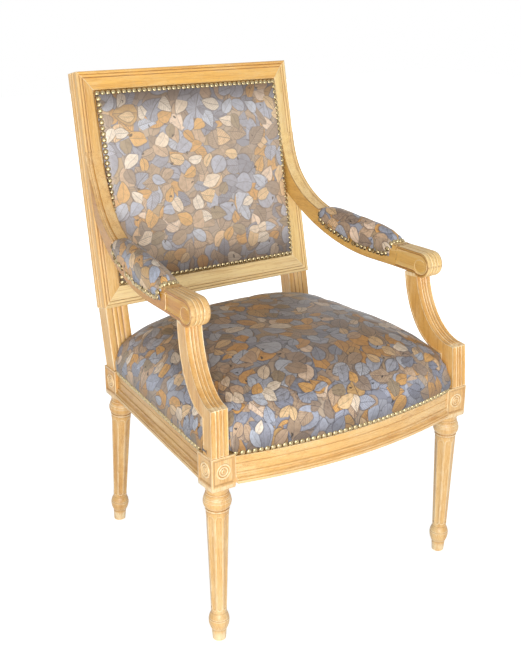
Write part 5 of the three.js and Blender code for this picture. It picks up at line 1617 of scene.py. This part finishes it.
def antique_brass():
    """Brass nail heads, bright where they are rubbed and dark brown round their rims, from patina and from
    painted shade where the heads meet the cloth.
    """
    material, g, shader = new_material("antique_brass")
    mottle = g.noise(g.scaled(g.in_piece(), (3, 3, 3)), 1, 3)
    colour = g.ramp(mottle, [(0.35, shade("94825e")), (0.6, shade("c6b48c"))])
    # Dark rims: patina, and painted shade where each head meets the cloth and its neighbours
    colour = g.mix(g.ease(g.attribute("rim"), 0.88, 1, 0, 0.85), colour, shade("574529"))
    g.fill(shader, {"Base Color": colour, "Metallic": 1, "Roughness": g.ease(mottle, 0.3, 0.7, 0.26, 0.4)})
    return material


def woven(name, dark, light, pitch, roughness):
    """A plain weave of threads a pitch apart, on a box of three flat projections."""
    material, g, shader = new_material(name)
    place = g.in_piece()
    wave = {"Vector": place, "Scale": 0.16 / (pitch * MM), "Distortion": 0.6, "Detail": 1}
    threads = [g.node("TexWave", wave, bands_direction=way).outputs["Fac"] for way in "XYZ"]
    weave = g.times(g.plus(*threads), 0.333)
    slub = g.noise(place, 400, 2)
    paleness = g.math("MULTIPLY_ADD", slub, 0.5, g.times(weave, 0.5))
    g.fill(shader, {"Base Color": g.mix(paleness, shade(dark), shade(light)),
                    "Roughness": g.ease(slub, 0.2, 0.8, roughness - 0.08, roughness),
                    "Normal": g.bump(weave, 0.5, 0.0005)})
    return material


oak_upright = oak("upright", body="dfaa5c", lime=0.45, groove_wax_and_shade=0.4)
oak_rear_legs = oak("rear_legs", seed=3.3, body="daa558", groove_wax_and_shade=0.5)
oak_supports = oak("supports", seed=2.1, body="e2a94e", lime=0.2)
oak_raked = oak("raked", ON_RAKE, 0.4, body="ebb55c", lime=0.3)
# A lit copy of the raked oak: the right stile's paler body is painted light, lifting it out of the shade on
# it
oak_right_stile = oak("right_stile", ON_RAKE, 3.7, body="ffdd90", lime=0.4)
oak_crest = oak("crest", ACROSS, 0.2, body="fcc462")
oak_across = oak("across", ACROSS, 0.9)
oak_front = oak("front", ACROSS, 1.7, lime=0.3, groove_wax_and_shade=0.5)
# The back's lower rail has a paler body as painted light, lifting it out of the shade of the seat and arms
oak_low_rail = oak("low_rail", ACROSS, 2.9, body="ffe4a6", lime=0.3)
oak_deep = oak("deep", DEEP, 1.3, body="d4a452", lime=0.15)
# The arms are lit and shaded copies of one oak: the right arm's paler body is painted light, and the left has
# more painted shade on its side faces
oak_arm_right = oak("arm_right", DEEP, 2.6, body="ffdc92", lime=0.3, side=0.7)
oak_arm_left = oak("arm_left", DEEP, 2.6, body="ecba6c", lime=0.35, groove_wax_and_shade=0.6, side=1)
# The leaf cloths are lit and shaded copies: the back's is paled all over by painted light, and the seat's and
# pads' tops are darkened by painted shade
cloth = leaf_cloth("leaf_cloth", 2, 0.9, 0.18)
pad_cloth = leaf_cloth("leaf_cloth_of_pads", 0.62, 0.25)
seat_cloth = leaf_cloth("leaf_cloth_of_seat", 0.41, 0.75)
brass = antique_brass()
jute = woven("jute_webbing", "7d6238", "b99a63", 2.2, 0.92)
black = woven("black_cloth", "121110", "262423", 0.8, 0.95)


def seat_nails():
    height = RAIL_TOP + SEAT_NAIL_HEIGHT
    across = [lerp(-1, 1, share) * (FRONT_RAIL_END - 1) for share in steps(40)]
    front = [Vector((x, front_rail_face(x) + TACKING_LEDGE, height)) for x in across]
    spots = [(place, (0, -1, 0)) for place in along(front, SEAT_NAIL_PITCH)]
    ends = (BLOCK_SIDE - 4, FRAME_DEPTH - BLOCK_SIDE - 1)
    for side in (-1, 1):
        row = [Vector((side * (side_rail_face(y) - TACKING_LEDGE), y, height)) for y in ends]
        spots += [(place, (side, 0, 0)) for place in along(row, SEAT_NAIL_PITCH)]
    return spots


def back_nails():
    """Nails round the back, and a few more in its lower left corner."""
    corners = [Vector((x, 0, z)) for x, z in back_opening(BACK_NAIL_INSET)]
    places = []
    for i, corner in enumerate(corners):
        places += along([corners[i - 1], corner], BACK_NAIL_PITCH)[1:]
    left, _, low = corners[0]
    for column, row in ((1, 1), (1, 2), (1, 3), (1, 4), (2, 1)):
        places.append(Vector((column * BACK_NAIL_PITCH + left, 0, low + BACK_NAIL_PITCH * row)))
    outward = RAKED.to_3x3() @ Vector((0, -1, 0))
    return [(RAKED @ place, outward) for place in places]


def pad_nails(side):
    """Nails low along both sides of an arm pad, rising a little round its ends."""
    row = []
    for share in steps(60):
        y = lerp(PAD_REAR_DEPTH - 3, PAD_FRONT_DEPTH + 3, share)
        front = 1 - smoothstep(y, PAD_FRONT_DEPTH, PAD_FRONT_DEPTH + PAD_NAIL_FRONT_RUN)
        rear = smoothstep(y, PAD_REAR_DEPTH - PAD_NAIL_REAR_RUN, PAD_REAR_DEPTH)
        lift = PAD_NAIL_FRONT_LIFT * front ** 2 + PAD_NAIL_REAR_LIFT * rear ** 2
        row.append(Vector((0, y, arm_underside_at(y) + PAD_NAIL_HEIGHT + lift)))
    spots = []
    for face in (-1, 1):
        for place in along(row, PAD_NAIL_PITCH):
            x = arm_centre_at(place.y) + face * arm_half_width_at(place.y)
            spots.append((Vector((side * x, place.y, place.z)), (side * face, 0, 0)))
    y = PAD_FRONT_DEPTH + 2
    for share in (-0.5, 0, 0.5):
        x = arm_centre_at(y) + share * arm_half_width_at(y)
        spots.append((Vector((side * x, y, ARM_TOP_FRONT + 2)), (0, -1, 0.7)))
    return spots


pair_of("front_leg", front_leg, "front_leg", oak_upright, oak_upright)
pair_of("rear_leg", rear_leg, "rear_post", oak_rear_legs, oak_rear_legs)
pair_of("rear_post", rear_post, "rear_post", oak_raked, oak_raked)
pair_of("stile", stile, "rear_post", oak_right_stile, oak_raked)
pair_of("side_seat_rail", side_seat_rail, "side_seat_rail", oak_deep, oak_deep)
pair_of("arm", arm, "arm", oak_arm_right, oak_arm_left)
pair_of("arm_support", arm_support, "arm_support", oak_supports, oak_supports)
for name, shape, material, node in (
        ("front_seat_rail_moulded", front_seat_rail(), oak_front, "front_seat_rail"),
        ("rear_seat_rail_plain", rear_seat_rail(), oak_across, "rear_seat_rail"),
        ("crest_rail_moulded", frame_rail(BACK_HEIGHT, -1, CREST_HEIGHT), oak_crest, "crest_rail"),
        ("back_lower_rail_moulded", frame_rail(0, 1, LOWER_RAIL_HEIGHT), oak_low_rail, "back_lower_rail")):
    piece_of(name, shape, material, [node])

for name, shape in {**seat_straps(), **back_straps()}.items():
    piece_of(name + "_strap", shape, jute, [name])

sheet_of("outside_back_cloth", outside_back(), cloth, "outside_back_panel", on_back_cloth)
sheet_of("dust_cover_cloth", dust_cover(), black, "dust_cover", on_seat_cloth)

for name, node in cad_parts.items():
    if name.startswith("corner_block"):
        node.data.materials.clear()
        node.data.materials.append(oak_across)

seat = upholstery("seat_cover", "seat_cushion", seat_cloth, on_seat_cloth, seat_held, seat_nails(),
                  voxel=0.006, cap=0.006, painted_shade=seat_foot_shadow)
back = upholstery("back_cover", "back_pad", cloth, on_back_cloth, back_held, back_nails(),
                  voxel=0.005, cap=0.008, painted_shade=back_edge_shade)
# The pads' hold also gives their painted shade, low on their sides near the nails
pads = {side: upholstery(f"arm_cover_{side}", f"arm_pad_{side}", pad_cloth, on_arm_cloth, pad_held,
                         pad_nails(sign), voxel=0.0035, cap=0.004, painted_shade=pad_held)
        for side, sign in (("right", 1), ("left", -1))}

nail_row("seat_nails", seat_nails(), seat, brass, 0.75)
nail_row("back_nails", back_nails(), back, brass)
nail_row("arm_nails_right", pad_nails(1), pads["right"], brass)
nail_row("arm_nails_left", pad_nails(-1), pads["left"], brass)


# Floor, light and camera

def seen_directly(g):
    """1 for a ray from the camera, a mirror or glass, and 0 for one that lights a surface."""
    path = g.node("LightPath").outputs
    return g.most(path["Is Camera Ray"], path["Is Glossy Ray"], path["Is Transmission Ray"])


def floor():
    """A plain white floor that keeps a soft shadow of the chair and fades into the white behind it."""
    shape = bmesh.new()
    bmesh.ops.create_grid(shape, x_segments=1, y_segments=1, size=FLOOR_SIZE)
    ground = object_of("floor", shape)
    material, g, shader = new_material("floor")
    from_chair = g.node("VectorMath", {0: g.in_piece()}, operation="LENGTH").outputs["Value"]
    glow = g.times(seen_directly(g), g.ease(from_chair, 0.5, 1.8, FLOOR_GLOW, 1))
    g.fill(shader, {"Base Color": (0.85, 0.85, 0.85, 1), "Roughness": 0.9, "Emission Color": (1, 1, 1, 1),
                    "Emission Strength": glow})
    ground.data.materials.append(material)


def daylight():
    """A white world: plain white to the eye, and a soft light on the chair that is weaker sideways."""
    world = bpy.data.worlds.new("daylight")
    bpy.context.scene.world = world
    world.use_nodes = True
    g = Graph(world.node_tree)
    upward = g.parts(g.node("TexCoord").outputs["Generated"])[2]
    level = g.ease(upward, 0, 0.8, HORIZON_LEVEL, ZENITH_LEVEL)
    g.fill(world.node_tree.nodes["Background"].inputs,
           {"Color": (1, 1, 1, 1), "Strength": g.most(seen_directly(g), level)})


def key_light():
    light = bpy.data.lights.new("key", "AREA")
    light.size = KEY_SIZE
    light.energy = KEY_POWER
    lamp = linked(bpy.data.objects.new("key", light))
    lamp.location = KEY_PLACE
    lamp.rotation_euler = (Vector(KEY_TARGET) - Vector(KEY_PLACE)).to_track_quat("-Z", "Y").to_euler()


def camera():
    data = bpy.data.cameras.new("camera")
    data.sensor_width = SENSOR_WIDTH
    data.lens = SENSOR_WIDTH * LENS_PIXELS / PICTURE_PIXELS
    eye = linked(bpy.data.objects.new("camera", data))
    azimuth = math.radians(EYE_AZIMUTH)
    elevation = math.radians(EYE_ELEVATION)
    level = math.cos(elevation)
    forward = Vector((-math.sin(azimuth) * level, math.cos(azimuth) * level, -math.sin(elevation)))
    eye.location = EYE
    eye.rotation_euler = forward.to_track_quat("-Z", "Y").to_euler()
    bpy.context.scene.camera = eye


floor()
daylight()
key_light()
camera()
bpy.context.scene.view_settings.view_transform = "Standard"
